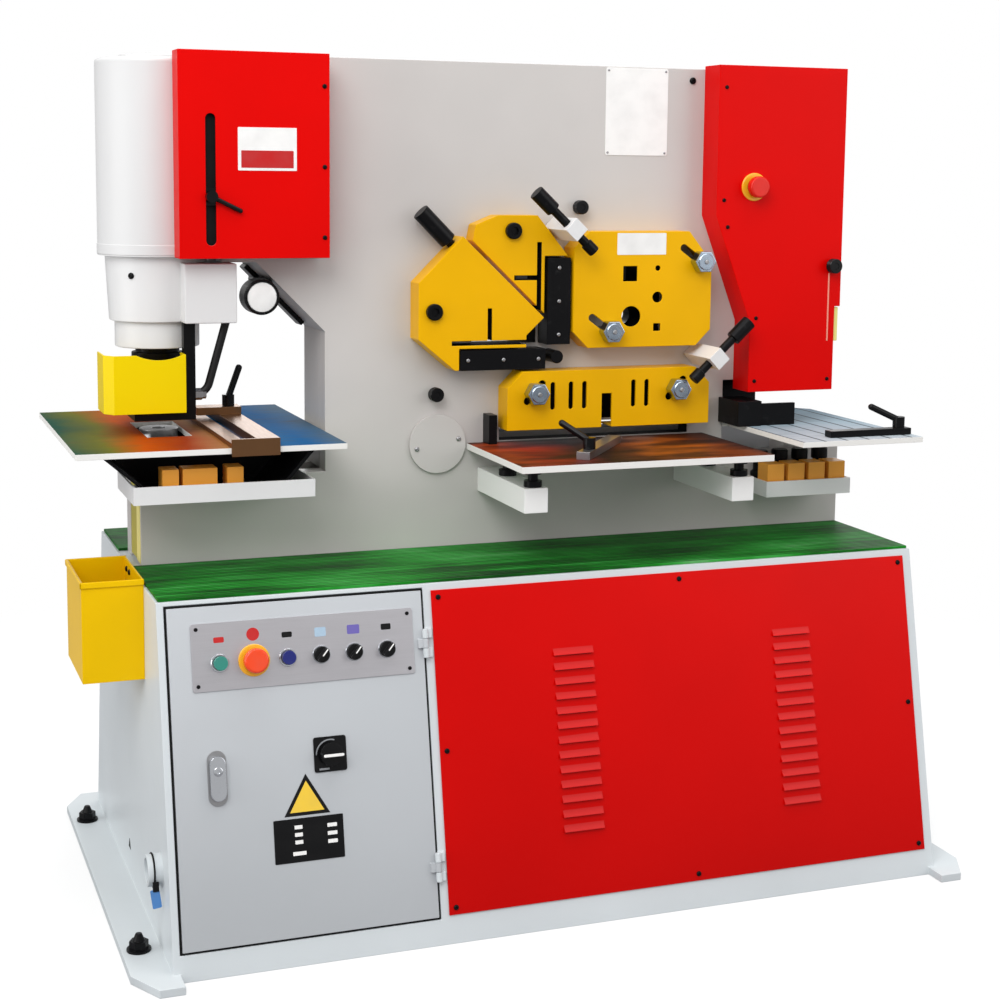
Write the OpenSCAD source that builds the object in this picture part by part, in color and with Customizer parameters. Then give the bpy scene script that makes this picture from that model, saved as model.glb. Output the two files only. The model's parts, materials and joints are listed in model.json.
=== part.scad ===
/* [Base] */
// Length of base over its end plates
base_l = 1400; // [1200:10:1600]
// Height of base deck
base_h = 586; // [500:1:650]
// Depth of base at deck
base_top_d = 610; // [540:1:700]
// Depth of base at floor
base_bot_d = 856; // [760:1:920]
// Gauge of end plate
end_t = 12; // [8:1:16]
// Gauge of front and rear sheets
sheet_t = 5; // [3:0.5:8]
// Gauge of deck
deck_t = 12; // [8:1:20]
// Gauge of floor plate
floor_t = 8; // [4:1:12]
// Wall between electrics and hydraulics
divider_x = -248; // [-300:1:-244]
// Gauge of that wall
divider_t = 6; // [4:1:10]

/* [Feet] */
// Reach of foot plate
foot_out = 64; // [40:1:90]
// Gauge of foot plate
foot_t = 14; // [8:1:20]
// Length of foot plate
foot_d = 938; // [880:2:1000]
// Corner cut of foot plate in X
foot_cx = 35; // [10:1:50]
// Corner cut of foot plate in Y
foot_cy = 65; // [20:1:90]
// Radius of bolt hole
foot_hole_r = 11; // [8:0.5:14]
// Offset of foot bolt from end plate
foot_bolt_out = 36; // [24:1:44]
// Offset of foot bolt from middle
foot_bolt_y = 312; // [250:1:380]
// Radius of foot bolt washer
washer_r = 20; // [16:1:26]
// Gauge of foot bolt washer
washer_t = 4; // [2:0.5:6]
// Corner radius of foot nut
nut_r = 16; // [13:0.5:20]
// Height of foot bolt nut
nut_h = 13; // [8:0.5:18]
// Radius of foot bolt shank
shank_r = 10; // [8:0.5:10.5]
// Height of coned bolt end
shank_up = 12; // [4:1:30]
// Outer radius of lifting tube
lift_r = 26; // [20:0.5:32]
// Bore radius of lifting tube
lift_bore_r = 20; // [14:0.5:24]
// Lifting tubes in Y
lift_y = -320; // [-360:1:-200]
// Height of lifting tubes
lift_z = 150; // [110:1:220]
// Reach of lifting tube
lift_out = 24; // [12:1:70]

/* [Door] */
// Door from left end of base
door_end = 16; // [14:1:80]
// Right edge of door
door_x1 = -258; // [-300:1:-257]
// Lower edge of door, on slope
door_v0 = 47; // [30:1:90]
// Upper edge of door, on slope
door_v1 = 588; // [520:1:589]
// Gap around the door
door_gap = 4; // [2:0.5:6]
// Gauge of door's front sheet
door_t = 3; // [2:0.5:5]
// Depth of door's folded rim
door_deep = 22; // [12:1:30]
// Gauge of door's folded rim
door_rim = 2; // [1.5:0.5:4]
// Outer radius of hinge knuckle
hinge_r = 5; // [4:0.25:7]
// Radius of hinge pin
hinge_pin_r = 2.5; // [2:0.25:3.5]
// Gap between knuckle and door face
hinge_rise = 0.6; // [0.4:0.1:1.5]
// Length of hinge
hinge_len = 48; // [30:1:80]
// Length of door's knuckle
hinge_mid = 16; // [10:1:24]
// End gap between knuckles
hinge_gap = 0.4; // [0.3:0.05:1]
// Width of hinge leaf
hinge_leaf = 13; // [8:1:14]
// Height of hinge leaf
hinge_leaf_t = 6; // [4:0.5:8]
// Lower hinge, on slope
hinge_v0 = 130; // [100:1:200]
// Upper hinge, on slope
hinge_v1 = 500; // [400:1:540]
// Running fit on a radius
fit = 0.05; // [0.02:0.01:0.1]

/* [Controls] */
// First control from door's left edge
row_in = 81; // [60:1:100]
// Last control from door's right edge
row_out = 65; // [50:1:90]
// Height of control row, on slope
row_v = 496; // [470:1:520]
// Radius of control stem
stem_r = 8; // [6:0.5:10]
// Length of stem behind the sheet
stem_in = 12; // [8:1:18]
// Radius of stem collar
collar_r = 11; // [10:0.5:14]
// Gauge of stem collar
collar_t = 3; // [2:0.5:5]
// Radius of push button
cap_r = 11.5; // [10.5:0.5:13]
// Gap under a push button
cap_up = 6.5; // [6:0.5:9]
// Gauge of push button
cap_t = 8; // [5:0.5:12]
// Radius of e-stop head
mush_r = 20; // [16:0.5:24]
// Gap under an e-stop head
mush_up = 13; // [12:0.5:18]
// Gauge of e-stop head
mush_t = 14; // [10:0.5:18]
// Rounding of e-stop head
mush_rim = 4; // [2:0.5:6]
// Radius of selector knob
sel_r = 13; // [11:0.5:15]
// Gap under a selector knob
sel_up = 3; // [2.5:0.5:4]
// Gauge of selector knob
sel_t = 7; // [4:0.5:10]
// Width of selector grip
sel_grip_w = 7; // [5:0.5:9]
// Height of selector grip
sel_grip_h = 10; // [6:0.5:14]
// Rest angle of selector grip
sel_turn = 50; // [0:1:90]
// Step from knob to grip
sel_lip = 0.6; // [0.3:0.1:1]
// Door lock from door's left edge
lock_in = 68; // [50:1:90]
// Height of lock spindle, on slope
lock_v = 325; // [300:1:360]
// Width of lock handle
lock_w = 26; // [20:1:32]
// Length of lock handle
lock_l = 46; // [30:1:60]
// Gauge of lock handle
lock_t = 9; // [6:0.5:14]
// Main switch from door's left edge
main_in = 255; // [220:1:280]
// Height of main switch, on slope
main_v = 334; // [310:1:380]
// Radius of main switch knob
main_r = 19; // [15:0.5:23]
// Gauge of main switch knob
main_t = 12; // [8:0.5:18]
// Width of main switch grip
main_grip_w = 9; // [6:0.5:12]
// Height of main switch grip
main_grip_h = 12; // [8:0.5:16]

/* [Panel] */
// Left edge of louvred panel
panel_x0 = -240; // [-241:1:-200]
// Panel from right end of base
panel_end = 18; // [14:1:60]
// Lower edge of panel, on slope
panel_v0 = 48; // [36:1:80]
// Upper edge of panel, on slope
panel_v1 = 587; // [540:1:592]
// Gauge of panel
panel_t = 3; // [2:0.5:5]
// Overlap of panel on base
panel_lap = 22; // [14:1:40]
// Number of louvres in a column
louvre_n = 13; // [6:1:14]
// Width of louvre
louvre_w = 74; // [50:1:100]
// Pitch of louvres
louvre_pitch = 25; // [22:0.5:27]
// Height of lowest louvre, on slope
louvre_v0 = 160; // [130:1:200]
// Middle of left column
louvre_xa = 10; // [-60:1:60]
// Middle of right column
louvre_xb = 435; // [380:1:500]
// Height of louvre hood
hood_h = 15; // [10:0.5:18]
// Reach of louvre hood
hood_d = 6; // [4:0.5:9]
// Height of louvre slit
slit_h = 6; // [4:0.5:8]

/* [Inside] */
// Left side of oil tank
tank_x0 = -60; // [-150:1:0]
// Right side of oil tank
tank_x1 = 420; // [300:1:560]
// Depth of oil tank
tank_d = 480; // [360:2:560]
// Height of oil tank
tank_h = 240; // [160:1:300]
// Radius of pump motor
motor_r = 95; // [70:1:110]
// Height of pump motor
motor_h = 250; // [160:1:280]
// Pump motor in X
motor_x = 90; // [60:1:140]
// Size of valve block
valve_w = 110; // [80:1:140]
// Valve block in X
valve_x = 320; // [290:1:340]
// Depth of switchgear plate
gear_d = 400; // [300:2:480]
// Height of switchgear plate
gear_h = 440; // [300:2:480]
// Lower edge of switchgear plate
gear_z = 70; // [40:1:100]
// Gauge of switchgear plate
gear_t = 6; // [3:1:8]
// Size of contactor
relay_w = 70; // [50:1:90]
// Number of contactors in a row
relay_n = 4; // [2:1:4]

/* [Mat] */
// Gauge of ribbed mat
mat_t = 5; // [3:0.5:8]
// Offset of mat from deck's edge
mat_in = 4; // [0:1:10]
// Gap beside mat
mat_gap = 2; // [1:0.5:6]

/* [Bin] */
// Reach of bin from end plate
bin_w = 102; // [80:1:130]
// Front of bin
bin_y0 = -190; // [-240:1:-120]
// Back of bin
bin_y1 = 0; // [-60:1:60]
// Foot of bin below base top
bin_drop = 156; // [140:1:170]
// Height of bin
bin_h = 170; // [120:1:220]
// Gauge of bin sheet
bin_t = 3; // [2:0.5:5]

/* [Frame] */
// Front face of front frame plate
body_y = -40; // [-60:1:-20]
// Gauge of frame plate
plate_t = 40; // [30:1:50]
// Gap between frame plates
plate_gap = 70; // [60:1:90]
// Left end of lower jaw
body_x0 = -680; // [-700:1:-640]
// Right end of lower jaw
body_x1 = 699; // [680:1:700]
// Top of frame plates
body_top = 1469; // [1400:1:1500]
// Top of lower jaws
jaw_z = 740; // [736:1:745]
// Inner end of punch throat
throat_x = -351; // [-370:1:-330]
// Height where the throat slopes
throat_z = 990; // [960:1:1010]
// Height of upper punch jaw
throat_top = 1114; // [1100:1:1130]
// Upper end of the slope in X
throat_tx = -474; // [-490:1:-460]
// Left end of upper jaw
upper_x = -535; // [-538:1:-500]
// Inner end of notching throat
notch_in = 440; // [430:1:445]
// Height of upper notching jaw
notch_z = 880; // [870:1:900]
// Right end of upper notching jaw
notch_x1 = 650; // [620:1:655]
// Height of bar between plates at deck
seam_h = 54; // [40:1:80]
// Offset of that bar from jaw ends
seam_in = 20; // [10:1:40]
// Gauge of throat strip
web_t = 26; // [16:1:30]
// Height of bar between plates at top
crown_h = 49; // [30:1:60]
// Left end of top bar
crown_x0 = -430; // [-436:1:-380]
// Right end of top bar
crown_x1 = 395; // [340:1:405]

/* [Pivot] */
// Pivot of shear beam in X
pivot_x = -141; // [-150:1:-130]
// Height of shear beam's pivot
pivot_z = 781; // [770:1:790]
// Radius of pivot pin
pivot_r = 40; // [30:1:44]
// Radius of round cover
pivot_head_r = 54; // [50:1:60]
// Gauge of round cover
pivot_head_t = 6; // [4:0.5:10]

/* [Shear beam] */
// Gap beside shear beam
beam_gap = 5; // [3:0.5:8]
// Radius of beam around the pivot
beam_boss_r = 88; // [70:1:92]
// Lower edge of beam
beam_z0 = 818; // [815:1:830]
// Upper edge of beam
beam_z1 = 1185; // [1160:1:1188]
// Right end of beam's plate
beam_x1 = 420; // [410:1:425]
// Left end of beam's plate
beam_x0 = -225; // [-232:1:-200]
// Right end of beam's nose
nose_x1 = 572; // [560:1:580]
// Height of beam's nose
nose_z = 1105; // [1100:1:1112]
// Height of nose
nose_h = 40; // [30:1:44]
// Gauge of nose
nose_t = 36; // [26:1:40]

/* [Windows] */
// Left side of angle shear window
ang_x0 = -76; // [-80:1:-60]
// Right side of angle shear window
ang_x1 = 50; // [40:1:52]
// Bottom of angle shear window
ang_z0 = 962; // [958:1:970]
// Top of angle shear window
ang_z1 = 1112; // [1090:1:1116]
// Left side of section shear window
sec_x0 = 190; // [180:1:200]
// Right side of section shear window
sec_x1 = 300; // [290:1:310]
// Bottom of section shear window
sec_z0 = 972; // [965:1:978]
// Top of section shear window
sec_z1 = 1116; // [1112:1:1130]
// Left end of flat shear slot
flat_x0 = -20; // [-24:1:0]
// Right end of flat shear slot
flat_x1 = 365; // [340:1:380]
// Bottom of flat shear slot
flat_z0 = 782; // [781:1:786]
// Top of flat shear slot
flat_z1 = 812; // [806:1:814]
// Left side of cylinder window
ram_win_x0 = 412; // [408:1:416]
// Right side of cylinder window
ram_win_x1 = 598; // [594:1:602]
// Bottom of cylinder window
ram_win_z0 = 1190; // [1188:1:1200]
// Top of cylinder window
ram_win_z1 = 1440; // [1420:1:1446]

/* [Shear cylinder] */
// Radius of shear cylinder
scyl_r = 86; // [76:1:90]
// Height of shear cylinder
scyl_h = 230; // [180:1:240]
// Gauge of its flange
scyl_flange = 24; // [16:1:30]
// Radius of its rod
rod_r = 32; // [26:1:34]
// Length of rod inside it
rod_in = 90; // [60:1:120]
// Width of notch ram
ram_w = 100; // [80:1:110]
// Lower end of notch ram
ram_z0 = 862; // [858:1:870]
// Upper end of notch ram
ram_z1 = 1172; // [1160:1:1180]
// Height of ram's slot
ram_slot_h = 58; // [52:1:64]
// Width of ram's slot
ram_slot_t = 46; // [42:1:50]
// Width of notch punch
npunch_w = 74; // [60:1:80]
// Depth of notch punch
npunch_d = 38; // [30:1:42]
// Lower end of notch punch
npunch_z = 814; // [810:1:820]
// Gap around notch punch
ndie_gap = 3; // [2:0.5:5]
// Rim of notch die
ndie_rim = 14; // [10:1:18]

/* [Guards] */
// Front face of yellow guards
guard_y = -90; // [-100:1:-80]
// Gauge of guard's front sheet
guard_t = 5; // [3:0.5:8]
// Gauge of guard's rim
guard_rim = 4; // [3:0.5:6]
// Gap beside a sliding piece
slide_gap = 0.4; // [0.3:0.05:1]
// Left side of lower angle guard
la_x0 = -193; // [-200:1:-185]
// Bottom of lower angle guard
la_z0 = 919; // [916:1:924]
// Left end of its lower side
la_low_x = -124; // [-130:1:-118]
// Lower end of its left side
la_low_z = 976; // [970:1:985]
// Upper end of its left side
la_high_z = 1077; // [1070:1:1085]
// Top corner of lower angle guard in X
la_peak_x = -110; // [-114:1:-104]
// Tip of long slanted side in X
la_tip_x = 47; // [44:1:48]
// Tip of long slanted side in Z
la_tip_z = 1012; // [1010:1:1018]
// Inner corner under the tip in X
la_heel_x = 13; // [8:1:20]
// Inner corner under the tip in Z
la_heel_z = 980; // [975:1:984]
// Short side at top corner
la_step = 15; // [10:1:20]
// Gap between two angle guards
ua_gap = 6; // [4:1:10]
// Setback of upper angle guard
ua_back = 10; // [6:1:16]
// Left corner of upper angle guard
ua_x0 = -83; // [-86:1:-78]
// Height of left corner
ua_z0 = 1180; // [1174:1:1186]
// Second corner of upper angle guard
ua_kx = -41; // [-46:1:-36]
// Top of upper angle guard
ua_z1 = 1197; // [1190:1:1204]
// Right end of its upper side
ua_x1 = 36; // [30:1:42]
// Gap beside a blade bar
bar_gap = 3; // [2:0.5:4]
// Left side of upright blade bar
vb_x0 = 54; // [53:0.5:56]
// Right side of upright blade bar
vb_x1 = 100; // [94:0.5:100.5]
// Lower end of upright blade bar
vb_z0 = 962; // [960:1:966]
// Upper end of upright blade bar
vb_z1 = 1120; // [1110:1:1122]
// Left end of level blade bar
hb_x0 = -113; // [-116:1:-110]
// Right end of level blade bar
hb_x1 = 52; // [50:0.5:53]
// Bottom of level blade bar
hb_z0 = 918; // [915:1:920]
// Top of level blade bar
hb_z1 = 955; // [950:1:957]
// Front face of blade bars
blade_y = -86; // [-89:1:-80]
// Eye bolt below upright bar in X
eye_x = 75; // [70:1:80]
// Eye bolt below upright bar in Z
eye_z = 939; // [935:1:942]
// Radius of that bolt
eye_r = 12; // [9:0.5:14]
// Width of cut for angle bars
cut_w = 8; // [6:0.5:10]
// Left end of level cut in lower guard
lcut_x0 = -130; // [-136:1:-116]
// Height of level cut in lower guard
lcut_z = 968; // [966:1:972]
// Upright cut in lower guard
lcut_up_x = -58; // [-70:1:-50]
// Length of upright cut in lower guard
lcut_up = 62; // [40:1:66]
// Upright cut in upper guard
ucut_x = 40; // [36:1:42]
// Upper end of upright cut in upper guard
ucut_z1 = 1148; // [1140:1:1152]
// Height of level cut in upper guard
ucut_z = 1084; // [1078:1:1088]
// Length of level cut in upper guard
ucut_l = 48; // [30:1:54]
// Left side of section guard
sg_x0 = 104; // [103.5:0.5:108]
// Right side of section guard
sg_x1 = 384; // [376:1:386]
// Bottom of section guard
sg_z0 = 954; // [950:1:958]
// Top of section guard
sg_z1 = 1168; // [1160:1:1172]
// Corner cut of section guard
sg_c = 30; // [20:1:36]
// Upper right corner cut in X
sg_cx = 47; // [36:1:56]
// Upper right corner cut in Z
sg_cz = 58; // [44:1:66]
// Left side of flat guard
fg_x0 = -23; // [-26:1:-18]
// Right side of flat guard
fg_x1 = 385; // [378:1:388]
// Bottom of flat guard
fg_z0 = 806; // [800:1:810]
// Top of flat guard
fg_z1 = 914; // [908:1:916]
// Corner cut of flat guard
fg_c = 30; // [20:1:36]
// Width of slot in flat guard
fg_slot_w = 9; // [6:0.5:12]
// Lower end of slots in flat guard
fg_slot_z = 842; // [836:1:850]
// Length of slots in flat guard
fg_slot_h = 42; // [30:1:50]
// Wide slot in flat guard
fg_mouth_x = 174; // [165:1:182]
// Width of wide slot in flat guard
fg_mouth_w = 20; // [14:1:24]
// Height of wide slot in flat guard
fg_mouth_h = 64; // [50:1:72]
// Square hole of section guard in X
hole_sq_x = 217; // [210:1:222]
// Square hole of section guard in Z
hole_sq_z = 1090; // [1084:1:1094]
// Size of square hole
hole_sq = 28; // [20:1:36]
// Large round hole in X
hole_big_x = 220; // [212:1:226]
// Large round hole in Z
hole_big_z = 1011; // [1005:1:1018]
// Radius of large round hole
hole_big_r = 19; // [14:1:23]
// Column of small holes in X
hole_col_x = 273; // [265:1:280]
// Middle round hole in Z
hole_mid_z = 1046; // [1040:1:1052]
// Radius of middle round hole
hole_mid_r = 10; // [7:0.5:13]
// Small round hole in Z
hole_top_z = 1100; // [1095:1:1106]
// Radius of small round hole
hole_top_r = 5; // [3:0.5:7]
// Small square hole in Z
hole_low_z = 990; // [986:1:996]
// Size of small square hole
hole_low = 14; // [10:1:18]
// Radius of knob over its corners
knob_r = 22; // [18:0.5:25]
// Gauge of knob
knob_t = 24; // [16:1:32]
// Radius of clamping stud
stud_r = 6; // [5:0.5:6.5]
// Width of guide slot
run_w = 14; // [13:0.5:18]
// Length of guide slot
run_l = 42; // [34:1:50]
// Direction of section guard's slots
run_sec_a = 144; // [135:1:150]
// Direction of flat guard's slots
run_flat_a = 47; // [40:1:52]
// Slot length below stud
run_flat_back = 20; // [17:1:26]
// Lower section knob in X
ka_x = 176; // [170:1:182]
// Lower section knob in Z
ka_z = 985; // [980:1:990]
// Upper section knob in X
kb_x = 360; // [352:1:364]
// Upper section knob in Z
kb_z = 1112; // [1106:1:1118]
// Left flat knob in X
kc_x = 30; // [24:1:36]
// Right flat knob in X
kd_x = 315; // [308:1:322]
// Flat knobs in Z
kcd_z = 874; // [868:1:880]

/* [Hold downs] */
// Slope of hold screws
hold_a = 43; // [40:1:47]
// Radius of hold screw
screw_r = 8; // [6:0.5:9]
// Radius of hold screw's head
head_r = 14; // [11:0.5:16]
// Length of hold screw's head
head_l = 46; // [30:1:60]
// Radius of hold screw's foot
tail_r = 11; // [9:0.5:13]
// Length of hold screw's foot
tail_l = 22; // [12:1:28]
// Two block screws in Y
hold_y = -130; // [-140:1:-122]
// Width of screw block
block_w = 30; // [24:1:34]
// Front face of screw block
block_y = -152; // [-160:1:-146]
// Upper screw block in X
up_block_x = 83; // [80:1:86]
// Upper screw block in Z
up_block_z = 1173; // [1170:1:1178]
// Lower screw block in X
low_block_x = 374; // [370:1:380]
// Lower screw block in Z
low_block_z = 934; // [930:1:938]
// Screw length between block and head
neck_up = 36; // [24:1:44]
// Screw length between block and foot
neck_dn = 22; // [16:1:30]
// Angle guard screw in Y
sa_y = -66; // [-72:1:-60]
// Radius of that screw's head
sa_r = 16; // [13:0.5:18]
// Length of that screw's head
sa_l = 74; // [50:1:84]
// Gap under its head
sa_gap = 8; // [7:0.5:14]
// Length of it in the guard
sa_in = 34; // [20:1:44]

/* [Punch] */
// Punch axis in X
punch_x = -634; // [-640:1:-628]
// Radius of punch cylinder
pcyl_r = 100; // [92:1:104]
// Lower end of punch cylinder
pcyl_z0 = 1125; // [1120:1:1130]
// Upper end of punch cylinder
pcyl_z1 = 1460; // [1430:1:1480]
// Rounding of its top
pcyl_rim = 8; // [4:1:12]
// Right end of its rib between plates
rib_x1 = -440; // [-448:1:-434]
// Lower end of rib
rib_z0 = 1150; // [1146:1:1160]
// Upper end of rib
rib_z1 = 1420; // [1400:1:1440]
// Radius of ram guide at its foot
guide_r1 = 82; // [78:1:88]
// Radius of ram guide at its head
guide_r2 = 88; // [84:1:96]
// Foot of ram guide
guide_z = 1012; // [1008:1:1020]
// Radius of guide's collar
neck_r = 73; // [66:1:76]
// Lower end of guide's collar
neck_z = 966; // [960:1:972]
// Left side of guide's square housing
gblock_x0 = -606; // [-610:1:-600]
// Right side of guide's square housing
gblock_x1 = -516; // [-524:1:-508]
// Front of guide's square housing
gblock_y = -80; // [-86:1:-74]
// Radius of punch ram
pram_r = 38; // [32:1:42]
// Upper end of punch ram
pram_z1 = 1260; // [1230:1:1300]
// Upper end of ram's bore
pram_bore_z = 1330; // [1300:1:1380]
// Radius of punch nut
pnut_r = 45; // [40:1:48]
// Lower end of punch nut
pnut_z0 = 915; // [914:1:920]
// Upper end of punch nut
pnut_z1 = 956; // [950:1:958]
// Radius of punch shank
punch_r = 20; // [14:1:24]
// Radius of punch tip
tip_r = 11; // [6:0.5:14]
// Lower end of punch tip
tip_z0 = 866; // [860:1:872]
// Length of punch tip
tip_l = 26; // [18:1:34]
// Radius of die
die_r = 34; // [28:1:35]
// Gap around punch tip
die_clear = 0.5; // [0.3:0.1:1]
// Height of die
die_t = 30; // [20:1:36]
// Width of die holder
hold_w = 112; // [96:1:120]
// Radius of slug hole
slug_r = 17; // [14:0.5:20]
// Left side of punch cover
pcov_x0 = -620; // [-626:1:-610]
// Right side of punch cover
pcov_x1 = -361; // [-368:1:-355]
// Bottom of punch cover
pcov_z0 = 1124; // [1118:1:1130]
// Top of punch cover
pcov_z1 = 1470; // [1460:1:1476]
// Front of punch cover
pcov_y = -114; // [-120:1:-108]
// Gauge of cover sheets
cover_t = 3; // [2:0.5:5]
// Gap beside punch cover
pcov_gap = 1.5; // [1:0.5:4]
// Stroke slot in X
stroke_x = -566; // [-570:1:-562]
// Width of stroke slot
stroke_w = 17; // [14:0.5:20]
// Lower end of stroke slot
stroke_z0 = 1146; // [1140:1:1160]
// Upper end of stroke slot
stroke_z1 = 1366; // [1350:1:1380]
// Rest height of stroke handle
stroke_z = 1228; // [1210:1:1250]
// Width of stroke handle's stem
stroke_stem = 10; // [8:0.5:12]
// Radius of stroke handle's hub
stroke_hub_r = 10; // [8:0.5:13]
// Gauge of stroke handle's hub
stroke_hub_t = 11; // [8:0.5:14]
// Length of stroke handle
stroke_arm = 54; // [40:1:66]
// Radius of stroke handle
stroke_arm_r = 4; // [3:0.5:5]
// Slope of stroke handle
stroke_arm_a = -26; // [-40:1:0]
// Size of slider behind the cover
stroke_back = 30; // [24:1:36]
// Left side of stripper foot
strip_x0 = -690; // [-700:1:-680]
// Bottom of stripper foot
strip_z0 = 845; // [840:1:850]
// Gauge of stripper foot
strip_t = 15; // [10:1:17]
// Radius of stripper's hole
strip_hole_r = 26; // [22:1:30]
// Width of stripper post
post_w = 20; // [14:1:24]
// Left side of stripper posts
post_x = -605; // [-608:1:-602]
// Stripper post from punch in Y
post_off = 85; // [80:1:92]
// Left side of punch guard
pg_x0 = -742; // [-746:1:-736]
// Left end of punch guard's front
pg_kx = -727; // [-732:1:-720]
// Front end of punch guard's left side
pg_ky = -60; // [-66:1:-50]
// Front of punch guard
pg_y0 = -80; // [-86:1:-76]
// Back of punch guard
pg_y1 = 10; // [0:1:60]
// Height of punch guard
pg_h = 100; // [86:1:106]
// Gauge of punch guard
pg_t = 3; // [2:0.5:4]
// Radius of dip in the guard's front edge
pg_dip_r = 90; // [70:1:140]
// Depth of that dip
pg_dip = 9; // [4:1:14]
// Radius of hose
hose_r = 7; // [5:0.5:9]
// Bend radius of hose
hose_bend = 26; // [20:1:40]
// Slope of hose
hose_a = 74; // [66:1:88]
// Height of hose's lower end
hose_z = 888; // [880:1:900]
// Place of lamp along the slope
lamp_s = 43; // [36:1:50]
// Radius of lamp
lamp_r = 31; // [26:1:34]
// Length of lamp
lamp_t = 44; // [30:1:54]
// Front of lamp
lamp_y = -70; // [-80:1:-60]
// Gauge of lamp's bar
lamp_bar_t = 9; // [7:0.5:14]
// Radius of lamp's arm
lamp_arm_r = 7; // [5:0.5:9]
// Length of lamp's bar
lamp_bar_l = 150; // [120:1:164]

/* [Punch table] */
// Left side of punch table
pt_x0 = -812; // [-830:1:-790]
// Right side of punch table
pt_x1 = -364; // [-372:1:-356]
// Front of punch table
pt_y0 = -236; // [-250:1:-220]
// Back of punch table
pt_y1 = 292; // [270:1:310]
// Top of punch table
pt_z = 820; // [818:1:824]
// Gauge of punch table
pt_t = 10; // [8:0.5:14]
// Gap between table and the die
pt_gap = 4; // [2:0.5:8]
// Front end of table's cut-out
pt_cut_y0 = -80; // [-90:1:-70]
// Back end of table's cut-out
pt_cut_y1 = 112; // [100:1:120]
// Scale bar in X
rail_x = -548; // [-556:1:-540]
// Width of scale bar
rail_w = 26; // [18:1:32]
// Length of scale bar
rail_l = 428; // [380:1:450]
// Gauge of scale bar
rail_t = 8; // [5:0.5:12]
// Gauge of rails' end plate
rail_end_t = 6; // [4:0.5:10]
// Drop of end plate below table top
rail_drop = 14; // [11:1:20]
// Guide channel in X
chan_x = -500; // [-506:1:-494]
// Width of guide channel
chan_w = 40; // [30:1:46]
// Height of guide channel
chan_t = 15; // [10:1:20]
// Front of gauge shoe
shoe_y = 60; // [40:1:80]
// Length of gauge shoe
shoe_l = 40; // [30:1:54]
// Height of gauge shoe
shoe_h = 14; // [10:1:20]
// Radius of clamp lever's hub
lever_hub_r = 11; // [9:0.5:13]
// Height of clamp lever's hub
lever_hub_h = 20; // [14:1:26]
// Length of clamp lever's arm
lever_arm = 58; // [44:1:70]
// Radius of clamp lever's arm
lever_arm_r = 6; // [4:0.5:8]
// Radius of clamp lever's stud
lever_stud_r = 5; // [4:0.5:6]
// Length of clamp lever's stud
lever_stud_l = 8; // [6:1:9]
// Gap under a clamp lever's hub
lever_float = 0.4; // [0.3:0.1:1]
// Slope of gauge lever
gauge_tilt = 70; // [40:1:80]
// Slope of fence lever
fence_tilt = 30; // [15:1:60]
// Slope of stop bar lever
bar_tilt = 25; // [15:1:60]
// Direction of stop bar lever
bar_turn = 165; // [120:1:200]
// Left end of tool box at its top
box_top_x0 = -770; // [-790:1:-750]
// Right end of tool box at its top
box_top_x1 = -406; // [-420:1:-396]
// Left end of tool box at its foot
box_bot_x0 = -680; // [-690:1:-670]
// Right end of tool box at its foot
box_bot_x1 = -476; // [-490:1:-460]
// Depth of tool box
box_d = 160; // [120:1:180]
// Gauge of tool box
box_t = 4; // [3:0.5:6]
// Left end of left tray
tray_x0 = -718; // [-730:1:-700]
// Right end of left tray
tray_x1 = -414; // [-430:1:-400]
// Depth of left tray
tray_d = 175; // [164:1:190]
// Bottom of left tray
tray_z = 728; // [720:1:732]
// Height of tray lips
tray_h = 30; // [20:1:36]
// Gauge of trays
tray_t = 4; // [3:0.5:6]
// Left end of right tray
rtray_x0 = 480; // [470:1:500]
// Right end of right tray
rtray_x1 = 662; // [640:1:690]
// Depth of right tray
rtray_d = 112; // [100:1:130]
// Bottom of right tray
rtray_z = 667; // [660:1:680]
// Width of wide tool blank
tool_a = 58; // [40:1:64]
// Width of narrow tool blank
tool_b = 28; // [20:1:36]
// Height of tool blanks, left
tool_h = 46; // [36:1:50]
// Depth of tool blanks
tool_d = 40; // [24:1:50]
// Width of tool blanks, right
rtool_w = 36; // [28:1:40]
// Height of tool blanks, right
rtool_h = 58; // [40:1:64]
// Pitch of tool blanks, right
rtool_pitch = 44; // [42:1:46]

/* [Shear table] */
// Left side of shear table
st_x0 = -84; // [-90:1:-76]
// Right side of shear table
st_x1 = 397; // [390:1:404]
// Front of shear table
st_y0 = -328; // [-340:1:-310]
// Top of shear table
st_z = 780; // [776:1:781]
// Gauge of shear table
st_t = 12; // [8:0.5:14]
// Width of table arm
arm_w = 44; // [36:1:52]
// Height of table arm
arm_h = 44; // [36:1:52]
// Top of table arms
arm_z = 734; // [726:1:740]
// Left arm in X
arm_xa = -40; // [-50:1:-30]
// Right arm in X
arm_xb = 360; // [350:1:370]
// Front end of arms
arm_y0 = -282; // [-300:1:-260]
// Radius of jack screw's foot
jack_r = 16; // [12:1:20]
// Radius of jack screw
jack_neck_r = 9; // [7:0.5:11]
// Front jack screws in Y
jack_y0 = -264; // [-270:1:-250]
// Rear jack screws in Y
jack_y1 = -140; // [-160:1:-120]
// Middle of shear fence in X
fence_x = 112; // [90:1:130]
// Middle of shear fence in Y
fence_y = -200; // [-210:1:-190]
// Length of shear fence
fence_l = 220; // [160:1:240]
// Width of shear fence
fence_w = 24; // [18:1:32]
// Height of shear fence
fence_h = 14; // [10:1:20]
// Angle of shear fence
fence_a = 52; // [40:1:60]
// Clamp lever along the fence
fence_lever_s = -70; // [-90:1:-40]
// End stop in X
post_bx = -44; // [-52:1:-36]
// Width of end stop
post_bw = 16; // [12:1:20]
// Height of end stop
post_bh = 54; // [40:1:64]
// Depth of end stop
post_bd = 34; // [24:1:44]

/* [Notch] */
// Left side of notch cover
ncov_x0 = 385; // [382:1:390]
// Right side of notch cover
ncov_x1 = 656; // [652:1:664]
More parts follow.
